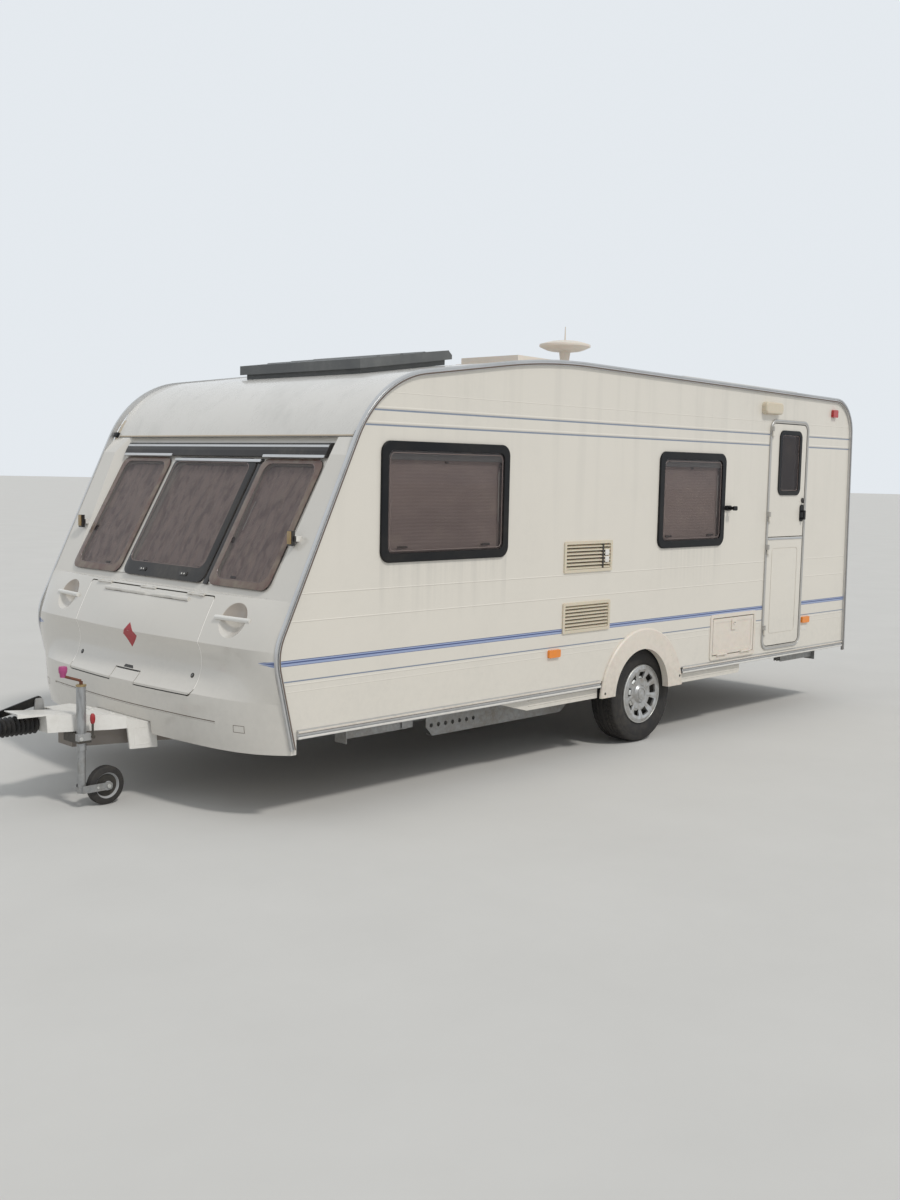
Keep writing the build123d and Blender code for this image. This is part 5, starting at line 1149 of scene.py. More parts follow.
class CARAVAN_OT_front_windows(bpy.types.Operator):
    """Borders, seams, strips, stays, latches and knobs of the three front panes"""
    bl_idname = "caravan.front_windows"
    bl_label = "Front windows"

    def execute(self, context):
        near, outer = CENTRE_HALF + PANE_GAP, GLASS_HALF - 0.006
        for side in (1, -1):
            left, right = sorted((side * near, side * outer))
            seam = (left + SEAM_INSET, right - SEAM_INSET, PANE_LOW + SEAM_INSET, PANE_HIGH - SEAM_TOP)
            self.border(sided("pane_border", side), (left, right), seam, SEAM_CORNER, "pink_acrylic")
            strip = pad(left, right, 0.749, 0.765, 0.003, 0.006)
            publish(sided("pane_strip", side), strip, "alu", on_glass(0.019))
            stay = pads([(side * (near + 0.072), 0.415, 0.003, 0.085)], 0.002, 0.002)
            publish(sided("pane_stay", side), stay, "white", on_glass(-0.009))
        seam = (-CENTRE_HALF + 0.014, CENTRE_HALF - 0.050, PANE_LOW + 0.080, PANE_HIGH - 0.026)
        self.border("centre_border", (-CENTRE_HALF, CENTRE_HALF), seam, 0.050, "border")
        seal = pad(CENTRE_HALF, near, PANE_LOW, PANE_HIGH, 0.004, 0.006)
        publish("centre_seal", seal, "border", on_glass())
        bar = pad(-CENTRE_HALF, CENTRE_HALF + 0.030, 0.724, 0.741, 0.003, 0.007)
        publish("centre_strip", bar, "alu", on_glass(PANE_OUT))
        self.latches()
        self.knobs()
        return {"FINISHED"}

    def border(self, name, sides, edges, radius, finish):
        """Flat border from a pane's edge to its seam, and the moulded ridge along the seam."""
        left, right, low, high = edges
        pane = box_outline(*sides, PANE_LOW, PANE_HIGH, PANE_CORNER)
        seam = box_outline(*edges, radius)
        inner = box_outline(
            left + SEAM_RIDGE, right - SEAM_RIDGE, low + SEAM_RIDGE, high - SEAM_RIDGE, radius - SEAM_RIDGE)
        flat = [(0.01, -0.0002), (0.01, 0.0010), (0.05, 0.0016), (1.0, 0.0016), (1.0, -0.0002)]
        publish(name, between(pane, seam, flat), finish, on_glass(PANE_OUT))
        ridge = [(0, -0.0002), (0, 0.0020), (0.3, 0.0032), (0.7, 0.0030), (1.0, 0.0006), (1, -0.0002)]
        publish(name + "_seam", between(seam, inner, ridge), "seam", on_glass(PANE_OUT))

    def latches(self):
        """Two latches on the centre pane's foot, each with two screw caps."""
        middles = (-LATCH_Y, LATCH_Y)
        plates = pads([(y, 0.042, 0.034, 0.012) for y in middles], 0.008, 0.006)
        dots = pads([(y + step, 0.042, 0.0045, 0.0045) for y in middles for step in (-0.011, 0.011)],
                    0.0045, 0.0075)
        publish("latch_plates", plates, "border", on_glass(PANE_OUT))
        publish("latch_dots", dots, "white", on_glass(PANE_OUT))

    def knobs(self):
        """Dark knobs and handles inside the panes."""
        near, outer = CENTRE_HALF + PANE_GAP + 0.032, GLASS_HALF - 0.040
        places = [(-outer, 0.27), (-near, 0.30), (CENTRE_HALF - 0.052, 0.30), (near, 0.27), (outer, 0.25)]
        knobs = pads([(y, up, 0.010, 0.017) for y, up in places], 0.009, 0.007, 0.002)
        knobs += pads([(y, 0.0955, 0.020, 0.0055) for y in (-0.235, 0.285)], 0.005, 0.006, 0.002)
        knobs += pads([(y, 0.064, 0.020, 0.006) for y in (0.60, -0.60)], 0.005, 0.006, 0.002)
        publish("pane_knobs", knobs, "fitting", on_glass(-0.0095))


class CARAVAN_OT_front_trim(bpy.types.Operator):
    """Lid seals and fittings, level strips, plain outlines, marker lenses and the caps of the brow's lip"""
    bl_idname = "caravan.front_trim"
    bl_label = "Front trim"

    def execute(self, context):
        self.lid_seals()
        self.lid_fittings()
        self.level_strips()
        for side in (1, -1):
            half = np.array((0.031, 0.018))
            outer = dense(np.array([(-1, -1), (1, -1), (1, 1), (-1, 1)]) * half)
            centre, inner = (side * OUTLINE_Y, OUTLINE_Z), outer * (half - 0.0022) / half
            ring = front_frame("front_panel", outer + centre, inner + centre, 0.0005)
            publish(sided("blank_outline", side), ring, "brown")
            lamp = pad(-0.0145, 0.0145, -0.034, 0.030, 0.004, 0.005, 0.002)
            place = spot(MARKER_X + MARKER_FACE, side * MARKER_Y, MARKER_Z, "x")
            publish(sided("marker_lens", side), lamp, "old_amber", place)
            cap = button(0.016, 0.016, 0.005, 0.014, 0.003)
            wall = "wall_door_side" if side > 0 else "wall_far_side"
            place = facing(wall, ahead_of(side * LIP_CAP_Y, BROW_LIP_Z + 0.006), (-1, 0, 0), -0.002)
            publish(sided("lip_cap", side), cap, "black", place)
        return {"FINISHED"}

    def level_strips(self):
        """Level strips across the front. Columns: name, node, half length, height, half width, thickness."""
        rows = [
            # The groove line is painted shade along the upper edge of the groove.
            ("groove_line", "front_panel", GROOVE_HALF, GROOVE_Z, 0.0024, 0.0008, "brown", "black_rubber"),
            ("window_strip", "front_window_rail", GLASS_HALF - 0.004, STRIP_Z, 0.0075, 0.003,
             "alu", "aluminium_trim"),
            ("brow_lip", "roof_panel", LIP_HALF, BROW_LIP_Z, 0.0045, 0.0035, "beige", "aluminium_trim"),
            # A black line of painted shade under the brow's lip.
            ("brow_lip_line", "roof_panel", LIP_HALF, BROW_LIP_Z - 0.0065, 0.0015, 0.0012,
             "black", "black_rubber"),
        ]
        for name, node, reach, z, half, height, finish, slot in rows:
            publish(name, front_strip(node, (-reach, z), (reach, z), half, height), finish)

    def lid_seals(self):
        """White seal in the side gaps of the lid, black seal along its foot and round the notch."""
        mid, feel = LID_GAP / 2, 0.0065
        for side in (1, -1):
            y = side * (LID_HALF + mid)
            ends = (y, LID_LOW + 0.03), (y, LID_HIGH - 0.012)
            strip = front_strip("front_panel", *ends, 0.0026, 0.0018, (side * feel, 0), 0.0002)
            publish(sided("lid_seal", side), strip, "seal")
        foot, top = LID_LOW - mid, NOTCH_HIGH - mid
        inner, outer, turn = NOTCH_HALF - mid, LID_HALF - 0.03, 0.016
        rows = [((-outer, foot), (-NOTCH_HALF, foot), (0, -feel)),
                ((-inner, foot), (-inner, top - turn), (feel, 0)),
                ((-inner + turn, top), (inner - turn, top), (0, -feel)),
                ((inner, top - turn), (inner, foot), (-feel, 0)),
                ((NOTCH_HALF, foot), (outer, foot), (0, -feel))]
        strips = [front_strip("front_panel", start, end, 0.0027, 0.0010, aside, 0.004)
                  for start, end, aside in rows]
        publish("lid_foot_seal", strips, "black")

    def lid_fittings(self):
        """Locks, plain diamond, painted shade in the finger recess and a line of painted shade under the bar, all
        on the lid.
        """
        lid, body = "gas_locker_lid", "gas_lid"
        disc = turned([(0.0130, 0), (0.0130, 0.0022), (0.0110, 0.0030), (0.0020, 0.0030)], 24)
        key = pad(-0.0012, 0.0012, -0.0075, 0.0075, 0.001, 0.0036, 0.0003)
        turn = Matrix.Rotation(KEY_TURN, 4, "Z")
        for side in (1, -1):
            place = facing(lid, ahead_of(side * LOCK_Y, LOCK_Z), (-1, 0, 0), -0.0005)
            publish(sided("lid_lock", side), disc, "dark_steel", place, body)
            publish(sided("lid_lock_key", side), key, "zinc", place @ turn, body)
        corners = np.array([(0, -1), (1, 0), (0, 1), (-1, 0)]) * DIAMOND_HALF + (0, DIAMOND_Z)
        publish("red_diamond", front_patch(lid, dense(corners, 20), 0.0012), "diamond", body=body)
        # Painted shade of the finger recess just above the notch: a dark patch laid on the flat lid.
        corners = np.array([(-0.046, 0.0), (0.046, 0.0), (0.036, 0.014), (-0.036, 0.014)])
        grip = front_patch(lid, dense(corners + (0, NOTCH_HIGH + 0.004)), 0.0010)
        publish("finger_grip", grip, "dark_steel", body=body)
        # A line of painted shade along the underside of the bar.
        y = np.linspace(-LID_BAR_HALF + 0.004, LID_BAR_HALF - 0.004, 60)
        axis_x = LID_BAR_X - LID_BAR_BOW * (y / LID_BAR_HALF) ** 2
        way = np.array([math.cos(BAR_SHADE_DOWN), 0.0, -math.sin(BAR_SHADE_DOWN)])
        path = np.column_stack([at(axis_x), y, np.full(len(y), LID_BAR_Z)]) + way * (LID_BAR_R - 0.0004)
        publish("bar_line", carried(lens(0.0026, 0.0010), path, way), "brown", body=body)


class CARAVAN_OT_side_windows(bpy.types.Operator):
    """Seams, blind cases, knobs and stays of the side and rear windows"""
    bl_idname = "caravan.side_windows"
    bl_label = "Side windows"

    def execute(self, context):
        for number, (half_u, half_v, place) in enumerate(window_places(WINDOW_RING)):
            self.fittings(number, half_u, half_v, place)
        front, rear, low, high = DOOR_WINDOW
        half_u, half_v = (front - rear) / 2 - DOOR_WINDOW_RING, (high - low) / 2 - DOOR_WINDOW_RING
        place = on_wall((front + rear) / 2, (low + high) / 2, 1, 0.0058)
        seam = frame_ring(half_u, half_v, 0.022, 0.004, 0.0012, 0.0004)
        publish("door_pane_seam", seam, "seam", place, "door_upper")
        return {"FINISHED"}

    def fittings(self, number, half_u, half_v, place):
        """Ridge round the pane, case over the blind and the small fittings behind the pane."""
        face, behind = raised(place, PANE_FACE - 0.0002), raised(place, -0.0135)
        ridge = frame_ring(half_u - 0.012, half_v - 0.012, 0.030, 0.004, 0.0014, 0.0005)
        publish(f"window_seam_{number}", ridge, "seam", face)
        case = pad(-half_u + 0.003, half_u - 0.003, half_v - 0.050, half_v - 0.003, 0.004, 0.010, 0.003)
        publish(f"blind_case_{number}", case, "hatch_side", behind)
        stays = pads([(u, half_v * 0.085, 0.0025, half_v * 0.535) for u in (-half_u + 0.014, half_u - 0.020)],
                     0.002, 0.004, 0.001)
        publish(f"window_stays_{number}", stays, "white", behind)
        rows = [(0.0, half_v - 0.058, 0.010, 0.006)]
        for way in (1, -1):
            rows.append((way * half_u * 0.72, -half_v + 0.030, 0.034, 0.006))
            rows.append((way * (half_u - 0.014), half_v - 0.075, 0.007, 0.006))
        publish(f"window_knobs_{number}", pads(rows, 0.005, 0.009, 0.002), "fitting", behind)


def window_places(inset, proud=0.0):
    """Half sizes, drawn in by the inset, and place of each wall window and then of the rear window."""
    rows = []
    for side, front, rear, low, high in WALL_WINDOWS:
        place = on_wall((front + rear) / 2, (low + high) / 2, side, proud)
        rows.append(((front - rear) / 2 - inset, (high - low) / 2 - inset, place))
    return rows + [(REAR_HALF_Y - inset, REAR_HALF_Z - inset, rear_window_place(proud))]


class CARAVAN_OT_door_trim(bpy.types.Operator):
    """Seal, frame ridge, split strip and key plate of the entrance door, and the side marker's base"""
    bl_idname = "caravan.door_trim"
    bl_label = "Door trim"

    def execute(self, context):
        mid_x, mid_z = (DOOR_FRONT + DOOR_REAR) / 2, (DOOR_LOW + DOOR_HIGH) / 2
        half_u, half_v = (DOOR_FRONT - DOOR_REAR) / 2, (DOOR_HIGH - DOOR_LOW) / 2
        levels = [(0.0241, 0), (0.0241, 0.0225), (0.0262, 0.0225), (0.0262, 0)]
        seal = plate(half_u, half_v, 0.075, levels, 8, loop=True)
        publish("door_seal", seal, "black", on_wall(mid_x, mid_z, 1, -0.022))
        ridge = frame_ring(half_u - 0.004, half_v - 0.004, 0.070, 0.006, 0.0022, 0.0008)
        publish("door_frame_ridge", ridge, "alu", on_wall(mid_x, mid_z, 1, 0.008))
        strip = pads([(0, 0, half_u - 0.032, 0.0075)], 0.002, 0.0035, 0.001)
        place = on_wall(mid_x, DOOR_SPLIT - 0.0125, 1, 0.0038)
        publish("split_strip", strip, "alu", place, "door_lower")
        key = [turned([(0.017, 0), (0.017, 0.006), (0.013, 0.013), (0.002, 0.015)], 24),
               pad(-0.004, 0.004, -0.022, 0.004, 0.003, 0.017, 0.002)]
        place = on_wall(DOOR_HANDLE[0] - 0.008, DOOR_HANDLE[1] + 0.094, 1, 0.0038)
        publish("door_key", key, "fitting", place, "door_upper")
        base = pad(-0.046, 0.030, -0.018, 0.018, 0.003, 0.0012, 0.0005)
        publish("marker_patch", base, "white", on_wall(-1.962, 0.607, 1))
        return {"FINISHED"}


class CARAVAN_OT_side_fittings(bpy.types.Operator):
    """Dark sheets of painted shade behind the vents, slider, locker lock, arch dimples and screws, skirt strips
    and ribs
    """
    bl_idname = "caravan.side_fittings"
    bl_label = "Side fittings"

    def execute(self, context):
        for number, (front, rear, low, high) in enumerate(VENTS):
            half_u, half_v = (front - rear) / 2 - 0.019, (high - low) / 2 - 0.019
            mid_x, mid_z = (front + rear) / 2, (low + high) / 2
            # A dark sheet set behind each vent's slats: painted shade for the dark space inside.
            back = pads([(0, 0, half_u, half_v)], 0.003, 0.0008, 0.0003)
            publish(f"vent_shade_sheet_{number}", back, "inside", on_wall(mid_x, mid_z, 1, -0.0150))
            if number == 0:
                place = on_wall(mid_x, mid_z, 1, 0.0048)
                post = pad(0.132, 0.146, -0.074, 0.074, 0.002, 0.003, 0.001)
                slider = pads([(0.177, v, 0.019, 0.018) for v in (-0.022, 0.020)], 0.004, 0.005, 0.0015)
                publish("vent_post", post, "inside", place)
                publish("vent_slider", slider, "white", place)
        hole = turned([(0.0045, 0), (0.0045, 0.0012), (0.001, 0.0012)], 16)
        place = on_wall(FLAP_MID, FLAP_HIGH - 0.068, 1, 0.0148)
        publish("locker_keyhole", hole, "inside", place, "service_flap")
        for side in (1, -1):
            self.arch(side)
            self.skirt(side)
        return {"FINISHED"}

    def arch(self, side):
        """Shallow dimples round the arch trim and a dark screw in each of its feet."""
        rows = [(0.0105, 0), (0.0105, 0.0008), (0.0080, 0.0010), (0.0060, -0.0002), (0.001, -0.0002)]
        dimple = turned(rows, 20)
        reach = ARCH_R - 0.048
        turns = [math.radians(degrees) for degrees in (52, 98, 142)]
        places = [(ARCH_X + reach * math.cos(turn), ARCH_Z + reach * math.sin(turn)) for turn in turns]
        dimples = [placed(dimple, on_wall(*place, side, TRIM_OUT)) for place in places]
        publish(sided("arch_dimples", side), dimples, "ivory")
        screw = turned([(0.0085, 0), (0.0085, 0.0010), (0.0050, 0.0022), (0.001, 0.0022)], 20)
        places = ((ARCH_X - 0.400, 0.412), (ARCH_X + 0.400, 0.378))
        screws = [placed(screw, on_wall(*place, side, TRIM_OUT)) for place in places]
        publish(sided("arch_screws", side), screws, "dark_steel")

    def skirt(self, side):
        """Ivory strip, dark line and bright lip on the foot rails, and ribs on the skirt panel."""
        face, inner = WALL_Y + 0.0139, WALL_Y - 0.0163
        rows = [("rail_cream", SILL_HIGH - 0.0105, 0.0050, 0.0010, "ivory"),
                ("rail_dark", SILL_HIGH - 0.0170, 0.0014, 0.0008, "brown"),
                ("rail_bright", SILL_LOW + 0.0065, 0.0055, 0.0010, "white")]
        for name, z, half, height, finish in rows:
            strips = [wall_run(lens(half, height, 0.0002), front - 0.002, rear + 0.002, z, side, face)
                      for front, rear in SILL_ENDS]
            publish(sided(name, side), strips, finish)
        ribs_on = [wall_run(lens(0.0045, 0.0035, 0.0002), front - 0.010, rear + 0.010, z, side, inner)
                   for front, rear in SKIRT_ENDS for z in (0.408, 0.378)]
        publish(sided("skirt_ribs", side), ribs_on, "door")


class CARAVAN_OT_wheel_trims(bpy.types.Operator):
    """Spokes, bright edge and cap ring of the wheel trims"""
    bl_idname = "caravan.wheel_trims"
    bl_label = "Wheel trims"

    def execute(self, context):
        edge = [(0.1845, 0.0895), (0.1855, 0.0920), (0.1885, 0.0915), (0.1905, 0.0885), (0.1890, 0.0870)]
        ring = [(0.0300, 0.0918), (0.0315, 0.0945), (0.0365, 0.0945), (0.0385, 0.0915)]
        cup = [(0.0480, 0.088), (0.0535, 0.0770), (0.0620, 0.0765), (0.0600, 0.0785), (0.0510, 0.0895)]
        for side, body in ((1, "wheel_door"), (-1, "wheel_far")):
            rows = [
                ("trim_spokes", self.around(self.spoke(), side, 0.5), "trim", None),
                ("trim_lips", self.around(self.lip(), side, 0.0), "steel", None),
                ("trim_edge", turned(edge, 72, True), "steel", on_wheel(side)),
                ("trim_cap_rings", [turned(ring, 40, True), turned(cup, 48, True)], "trim", on_wheel(side)),
            ]
            for name, part, finish, place in rows:
                publish(sided(name, side), part, finish, place, body)
        return {"FINISHED"}

    def around(self, part, side, start):
        """The part once for each opening, turned on by the start's share of a step."""
        step = 2 * math.pi / TRIM_HOLES
        return [placed(part, on_wheel(side, (index + start) * step + math.pi / 2))
                for index in range(TRIM_HOLES)]

    def spoke(self):
        """Rib between two openings: at radius r it is a half sine of height 2.6 mm over the half width
        7.5 mm + (r - 66 mm) / 9, on the trim's face."""
        radius = np.linspace(0.066, 0.168, 14)[:, None]
        face = np.interp(radius, TRIM_FACE[:, 0], TRIM_FACE[:, 1])
        share = np.linspace(-1, 1, 11)[None, :]
        half = 0.0075 + (radius - 0.066) / 9
        fade = np.sin(np.linspace(0, 1, len(radius))[:, None] ** 0.7 * math.pi) ** 0.5
        height = face + 0.0026 * fade * np.cos(share * math.pi / 2) - 0.0002
        top = np.stack([share * half, radius + 0 * share, height], axis=-1)
        foot = top[:, ::-1].copy()
        foot[..., 2] = face - 0.0012
        return skin(np.concatenate([top, foot], axis=1))

    def lip(self):
        """Bright lip at an opening's inner edge: a bar that slopes into the opening."""
        share = np.linspace(-1, 1, 9)
        rows = [(0.1010, 0.0770), (0.1030, 0.0765), (0.1130, 0.0690), (0.1110, 0.0670), (0.1000, 0.0740)]
        lines = [np.column_stack([0.0165 * share, radius + 0.002 * (1 - share ** 2), np.full(9, out)])
                 for radius, out in rows]
        return skin(np.stack(lines, axis=1))


def nut(radius):
    """Six-sided nut with a bevelled top."""
    return turned([(radius, 0), (radius, 0.006), (radius - 0.0015, 0.0075), (0.002, 0.0075)], 6)


class CARAVAN_OT_hitch(bpy.types.Operator):
    """Grips, knobs, bolts and mouldings of the hitch and jockey wheel"""
    bl_idname = "caravan.hitch"
    bl_label = "Hitch"

    def execute(self, context):
        self.jockey()
        self.levers()
        self.head_bolts()
        self.cover()
        return {"FINISHED"}

    def jockey(self):
        """Crank knob, tube rim, fork nuts, and the clamp's grip and bolt."""
        knob = [(0.0150, 0.0), (0.0160, 0.016), (0.0210, 0.026), (0.0225, 0.042),
                (0.0200, 0.0545), (0.002, 0.0560)]
        publish("crank_knob", turned(knob, 20), "pink", spot(*KNOB))
        rim = turned([(0.0232, 0), (0.0262, 0.001), (0.0262, 0.009), (0.0232, 0.010)], 32, True)
        publish("tube_rim", rim, "brass", spot(JOCKEY_X, JOCKEY_Y, TUBE_HIGH - 0.0095))
        big = nut(0.0110)
        small = big[0] * (0.6, 0.6, 0.7), big[1]
        wheel_x = JOCKEY_X - JOCKEY_TRAIL
        for side, way in ((1, "y"), (-1, "-y")):
            y = JOCKEY_Y + side * FORK_FACE
            nuts = [placed(big, spot(wheel_x, y, JOCKEY_WHEEL_R, way)),
                    placed(small, spot(wheel_x + 0.062, y, JOCKEY_WHEEL_R, way))]
            publish(sided("fork_nuts", side), nuts, "steel", body="jockey_caster")
        grip = [(0.0075, 0.050), (0.0115, 0.058), (0.0135, 0.075), (0.0120, 0.092),
                (0.0060, 0.101), (0.001, 0.102)]
        publish("clamp_grip", turned(grip, 20), "clamp_red", spot(*CLAMP_LEVER))
        place = spot(JOCKEY_X + 0.022, JOCKEY_Y + 0.0339, 0.361, "y")
        publish("clamp_bolt", big, "steel", place)

    def levers(self):
        """Ribbed grip and button of the hand brake, and the mark on the coupling's hand lever."""
        along = np.linspace(BRAKE_LENGTH - BRAKE_GRIP - 0.004, BRAKE_LENGTH + 0.012, 46)
        ripple = 0.0165 + 0.0012 * np.sin(along * 2 * math.pi / 0.012)
        ripple[[0, -1]] = 0.0120
        place = spot(*BRAKE) @ Matrix.Rotation(BRAKE_SLOPE + math.pi / 2, 4, "Y")
        grip = turned(np.column_stack([ripple, along]), 24)
        publish("brake_grip", grip, "grip", place, "handbrake")
        press = [(0.0070, BRAKE_LENGTH + 0.010), (0.0070, BRAKE_LENGTH + 0.022),
                 (0.002, BRAKE_LENGTH + 0.024)]
        publish("brake_button", turned(press, 16), "clamp_red", place, "handbrake")
        mark = pad(-0.0145, 0.0145, -0.030, 0.030, 0.004, 0.003, 0.001)
        top = facing("coupling_head", (at(BALL_X - 0.155), 0, 1.0), (0, 0, -1))
        publish("lever_mark", mark, "clamp_red", top)

    def head_bolts(self):
        bolts = []
        for x in HEAD_BOLTS:
            for side, way in ((1, "y"), (-1, "-y")):
                point, normal = on_surface("coupling_head", (at(x), side, HEAD_BOLT_Z), (0, -side, 0))
                bolts.append(placed(nut(0.0100), spot(x, point.y - side * 0.0005, HEAD_BOLT_Z, way)))
        publish("head_bolts", bolts, "steel")

    def cover(self):
        """Raised pads on the cover's top and a border on its apron."""
        places = [facing("hitch_cover", (at(x), y, 1.0), (0, 0, -1), -0.0005) for x, y in COVER_PADS]
        cover_pads = [placed(button(0.022, 0.012, 0.006, 0.003, 0.001), place) for place in places]
        publish("cover_pads", cover_pads, "cover")
        border = frame_ring(0.048, 0.046, 0.006, 0.004, 0.0016, 0.0006)
        for side in (1, -1):
            place = facing("hitch_cover", (at(APRON_X), side, APRON_Z), (0, -side, 0), -0.0003)
            publish(sided("apron_border", side), border, "cover", place)


class CARAVAN_OT_roof_and_rear(bpy.types.Operator):
    """Rooflight ribs, aerial rings, rear lamp frames, plate and reflectors"""
    bl_idname = "caravan.roof_and_rear"
    bl_label = "Roof and rear"

    def execute(self, context):
        low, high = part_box("rooflight_front")
        mid, half = (low.x + high.x) / 2, (high.x - low.x) / 2
        ribs_on = []
        for share in (-0.5, 0.0, 0.5):
            point, normal = on_surface("rooflight_front", (mid + share * half, 0, CAD_HIGH.z + 1), (0, 0, -1))
            path = [(point.x, y, point.z) for y in (low.y + 0.05, 0.0, high.y - 0.05)]
            ribs_on.append(carried(lens(0.016, 0.005, 0.0005), path, normal))
        publish("rooflight_ribs", ribs_on, "hatch")
        low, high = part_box("roof_aerial")
        middle = ((low.x + high.x) / 2, (low.y + high.y) / 2)
        ring = turned([(0.056, 0), (0.064, 0.001), (0.062, 0.008), (0.057, 0.010)], 40, True)
        publish("aerial_seal", ring, "black", Matrix.Translation((*middle, low.z + 0.002)))
        ring = turned([(0.1655, 0), (0.1678, 0.0015), (0.1678, 0.0060), (0.1655, 0.0075)], 64, True)
        publish("aerial_seam", ring, "hatch_side",
                Matrix.Translation((*middle, AERIAL_SEAM_Z)))
        self.rear()
        return {"FINISHED"}

    def rear(self):
        """Black frames round the rear clusters, blank plate and three-cornered reflectors."""
        start = CAD_LOW.x - 1
        angle = ring_angles(3) + math.pi / 2
        corners = np.column_stack([np.cos(angle), np.sin(angle)])
        levels = ((0.055, 0.0), (0.055, 0.004), (0.051, 0.006), (0.004, 0.006))
        reflector = skin([lifted(dense(corners * size, 6), lift) for size, lift in levels])
        ring = frame_ring(0.083, 0.188, 0.012, 0.009, 0.006, 0.002)
        for side in (1, -1):
            place = facing("rear_lamps", (start, side * LAMP_Y, LAMP_Z), (1, 0, 0), -LAMP_IN)
            publish(sided("lamp_frame", side), ring, "black", place)
            place = facing("rear_panel", (start, side * REFLECTOR_Y, REFLECTOR_Z), (1, 0, 0), -0.0005)
            publish(sided("reflector", side), reflector, "red", place)
        place = facing("rear_panel", (start, 0, PLATE_Z), (1, 0, 0), -0.0005)
        part = button(PLATE_HALF_Y, PLATE_HALF_Z, 0.006, 0.003, 0.001)
        publish("blank_plate", part, "plate", place)


class CARAVAN_OT_tyres(bpy.types.Operator):
    """Tyres with tread blocks and moulded sidewalls"""
    bl_idname = "caravan.tyres"
    bl_label = "Tyres"

    def execute(self, context):
        for side, body in ((1, "wheel_door"), (-1, "wheel_far")):
            part = self.surface(side)
            tyre = publish(sided("tread_tyre", side), part, "tyre", None, body, 50.0)
            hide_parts(sided("tyre", side))
        return {"FINISHED"}

    def profile(self):
        """Closed (across, radius) section: a crown that falls 4 mm to the tread's edges, round shoulders and
        bulging sidewalls down to the beads."""
        bead, tread, crown_drop = 0.0745, 0.070, 0.004
        across = np.linspace(-tread, tread, 57)
        crown = np.column_stack([across, TYRE_R - crown_drop * (across / tread) ** 2])
        flank = np.linspace(0, 1, 26)
        shoulder_y = tread + (TYRE_HALF - tread) * np.sin(flank * math.pi / 2) ** 0.9
        shoulder = np.column_stack([shoulder_y, TYRE_R - crown_drop - 0.068 * flank ** 2.2])
        low = np.linspace(0, 1, 12)[1:]
        foot = shoulder[-1, 1]
        sidewall = np.column_stack([
            TYRE_HALF - (TYRE_HALF - bead) * low ** 1.8, foot - (foot - 0.1815) * low])
        right = np.vstack([shoulder, sidewall])
        left = right[::-1] * (-1, 1)
        return np.vstack([crown, right[1:], left[:-1]])

    def surface(self, side):
        """The section turned about the axle. The tread's radius drops by the depth in four grooves across |y|
        and in slanting cuts between them; the sidewall has fine turned rings."""
        tyre = SETTINGS.tyre
        angle = ring_angles(tyre.steps)[:, None]
        y, radius = self.profile().T[:, None, :]
        out = np.abs(y)
        groove = np.any([np.abs(y - middle) < 0.0034 for middle in (-0.048, -0.017, 0.017, 0.048)], axis=0)
        pitch = 2 * math.pi / tyre.blocks
        slant = np.where(out < 0.017, 0.0, np.sign(y) * 0.35) * out / TYRE_R
        phase = np.mod(angle + slant + 0.4 * pitch * (out < 0.033), pitch) / pitch
        cut = (phase < 0.13) & (out > 0.0205) & (out < 0.082) & (radius > TYRE_R - 0.03)
        rings = 0.0007 * np.sin(radius * 1100) * ((out > 0.088) & (radius > 0.2))
        radius = radius - tyre.tread_depth * np.maximum(groove, 0.8 * cut)
        y = np.broadcast_to(y, radius.shape) + rings * np.sign(y)
        points = [HUB_X + radius * np.cos(angle), side * HUB_Y + y, HUB_Z + radius * np.sin(angle)]
        return skin(np.stack(points, axis=-1), loop=True)


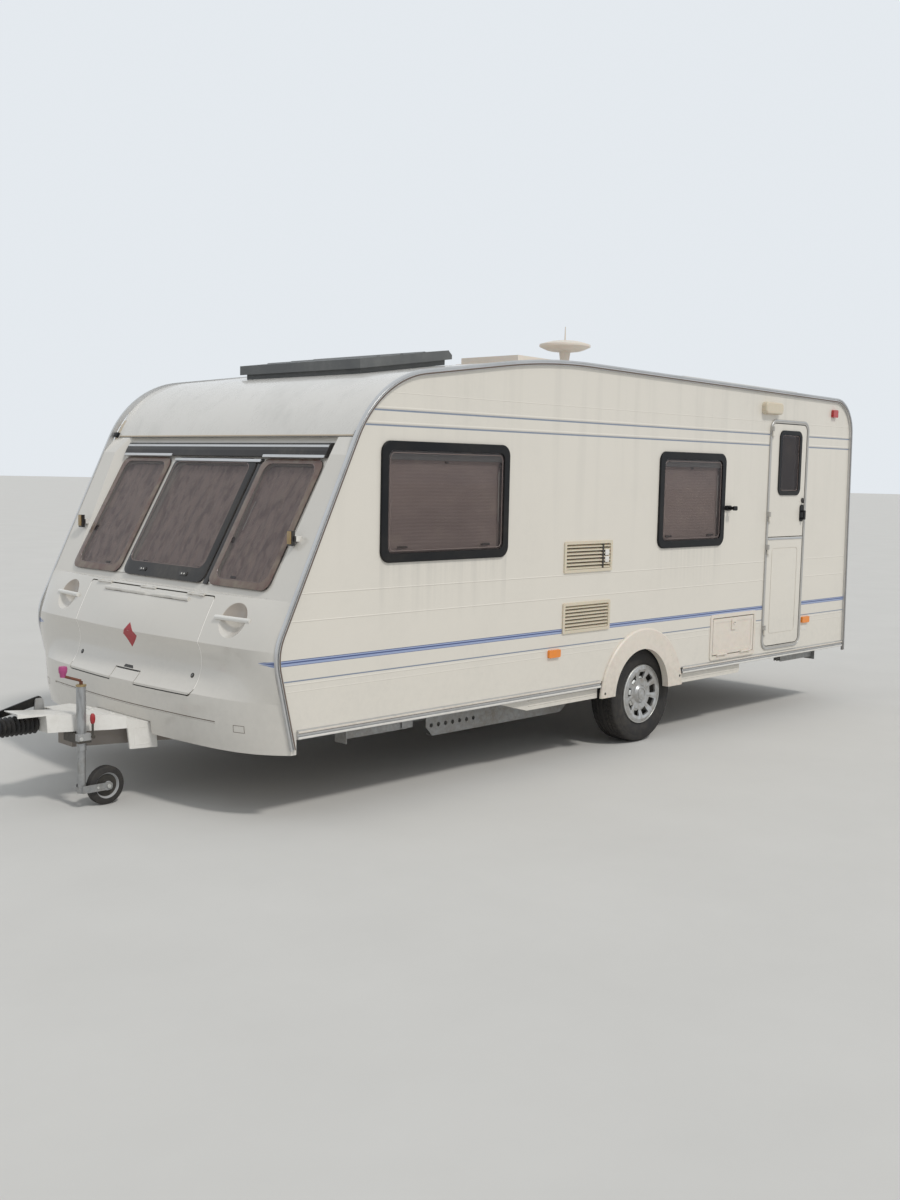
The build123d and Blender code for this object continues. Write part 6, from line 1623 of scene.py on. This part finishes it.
class CARAVAN_OT_blinds(bpy.types.Operator):
    """Pleated blinds in the walls and folded curtains behind the front windows"""
    bl_idname = "caravan.blinds"
    bl_label = "Blinds"

    def execute(self, context):
        for number, (half_u, half_v, place) in enumerate(window_places(BLIND_EDGE, -BLIND_IN)):
            rear = number == len(WALL_WINDOWS)
            name, seed = ("rear_blind", 7) if rear else (f"wall_blind_{number}", number)
            self.blind(name, half_u, half_v, place, seed)
        near, outer = CENTRE_HALF + PANE_GAP, GLASS_HALF - 0.006
        for number, (left, right) in enumerate(((-outer, -near), (-CENTRE_HALF, CENTRE_HALF), (near, outer))):
            piece = self.curtain(f"front_curtain_{number}", left + 0.028, right - 0.028, number)
            if number == 0:
                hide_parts("window_blinds")
        return {"FINISHED"}

    def blind(self, name, half_u, half_v, place, seed):
        """Sheet with faint level pleats: depth 0.6 mm * triangle wave of v, plus a slow slanting billow."""
        u = np.linspace(-half_u, half_u, 40)[None, :]
        v = np.linspace(-half_v, half_v, int(half_v * 2 / 0.0045))[:, None]
        pleat = 0.0006 * (2 * np.abs(np.mod(v / 0.018 + 0.12 * np.sin(u * 9 + seed), 1.0) * 2 - 1) - 1)
        billow = 0.0026 * np.sin(u * 7.0 + v * 5.0 + seed) * np.cos(v * 6.0 + seed * 0.7)
        return self.sheet(name, u, v, pleat + billow, place, "stretched", "window_frames", "blind")

    def curtain(self, name, left, right, seed):
        """Sheet with upright folds: two sines of u whose phase wanders with v, deepest at the foot."""
        low, high = 0.044, GLASS_LENGTH - 0.038
        u = np.linspace(left, right, 150)[None, :]
        v = np.linspace(low, high, 60)[:, None]
        wander = 0.020 * np.sin(v * 5.0 + seed) + 0.012 * np.sin(v * 11.0 + 2.0 * seed)
        share = 1.0 - 0.45 * (v - low) / (high - low)
        broad = np.sin((u + wander) * 2 * math.pi / 0.083 + seed)
        narrow = 0.45 * np.sin((u - wander) * 2 * math.pi / 0.047)
        depth = SETTINGS.blinds.fold_depth * share * (broad + narrow)
        return self.sheet(name, u, v, depth, on_glass(-CURTAIN_IN), "hung", "front_window_frame", "cloth")

    def sheet(self, name, u, v, depth, place, held, carrier, finish):
        """Thin sheet over the grid of u and v."""
        points = np.stack([u + 0 * v, v + 0 * u, depth], axis=-1)
        part = points.reshape(-1, 3), quads(*depth.shape, False, False)
        piece = publish(name, part, finish, place, smooth=None)
        wall = piece.modifiers.new("thickness", "SOLIDIFY")
        wall.thickness = CLOTH_THICKNESS
        wall.offset = 0.0
        return piece


class CARAVAN_PT_page(bpy.types.Panel):
    """Sizes of the caravan's finish"""
    bl_idname = "CARAVAN_PT_page"
    bl_label = "Touring Caravan"
    bl_space_type = "VIEW_3D"
    bl_region_type = "UI"
    bl_category = "Caravan"

    def draw(self, context):
        for group_name in ("stage", "tyre", "blinds"):
            box = self.layout.box()
            settings = getattr(context.scene.caravan, group_name)
            for key in settings.__annotations__:
                box.prop(settings, key)
        for operator in OPERATORS:
            self.layout.operator(operator.bl_idname)


class StageSettings(bpy.types.PropertyGroup):
    camera_place: FloatVectorProperty(
        name="Camera place", description="Where the photograph was taken from",
        default=(5.955, 5.928, 1.7405), subtype="XYZ", unit="LENGTH")
    camera_turn: FloatVectorProperty(
        name="Camera turn", description="Yaw, pitch and roll in degrees", default=(-135.69, -5.83, 1.19))
    camera_lens: FloatProperty(
        name="Lens", description="Focal length in millimetres", default=38.556, min=1.0)
    sun_strength: FloatProperty(
        name="Sun", description="Strength of the high soft sun", default=1.35, min=0.0)
    sun_from: FloatVectorProperty(
        name="Sun from", description="Direction towards the sun", default=(0.02, 0.62, 0.78), subtype="XYZ")
    sky_strength: FloatProperty(name="Sky", description="Strength of the even light", default=0.62, min=0.0)


class TyreSettings(bpy.types.PropertyGroup):
    tread_depth: FloatProperty(name="Tread", description="Depth of the grooves", default=0.006, unit="LENGTH")
    blocks: IntProperty(name="Blocks", description="Tread blocks round the tyre", default=64, min=8)
    steps: IntProperty(name="Steps", description="Divisions round the tyre", default=512, min=32)


class BlindSettings(bpy.types.PropertyGroup):
    fold_depth: FloatProperty(
        name="Fold", description="Depth of the curtain folds", default=0.0042, unit="LENGTH")


class CaravanSettings(bpy.types.PropertyGroup):
    stage: PointerProperty(type=StageSettings)
    tyre: PointerProperty(type=TyreSettings)
    blinds: PointerProperty(type=BlindSettings)


OPERATORS = [
    CARAVAN_OT_stage, CARAVAN_OT_finishes, CARAVAN_OT_side_lines, CARAVAN_OT_front_windows,
    CARAVAN_OT_front_trim, CARAVAN_OT_side_windows, CARAVAN_OT_door_trim, CARAVAN_OT_side_fittings,
    CARAVAN_OT_wheel_trims, CARAVAN_OT_hitch, CARAVAN_OT_roof_and_rear, CARAVAN_OT_tyres, CARAVAN_OT_blinds,
]
CLASSES = [StageSettings, TyreSettings, BlindSettings, CaravanSettings, *OPERATORS, CARAVAN_PT_page]


def register():
    for item in CLASSES:
        bpy.utils.register_class(item)
    bpy.types.Scene.caravan = PointerProperty(type=CaravanSettings)


def unregister():
    del bpy.types.Scene.caravan
    for item in reversed(CLASSES):
        bpy.utils.unregister_class(item)


def main():
    global SETTINGS
    register()
    SETTINGS = bpy.context.scene.caravan
    for operator in OPERATORS:
        space, name = operator.bl_idname.split(".")
        getattr(getattr(bpy.ops, space), name)()


if __name__ == "__main__":
    main()
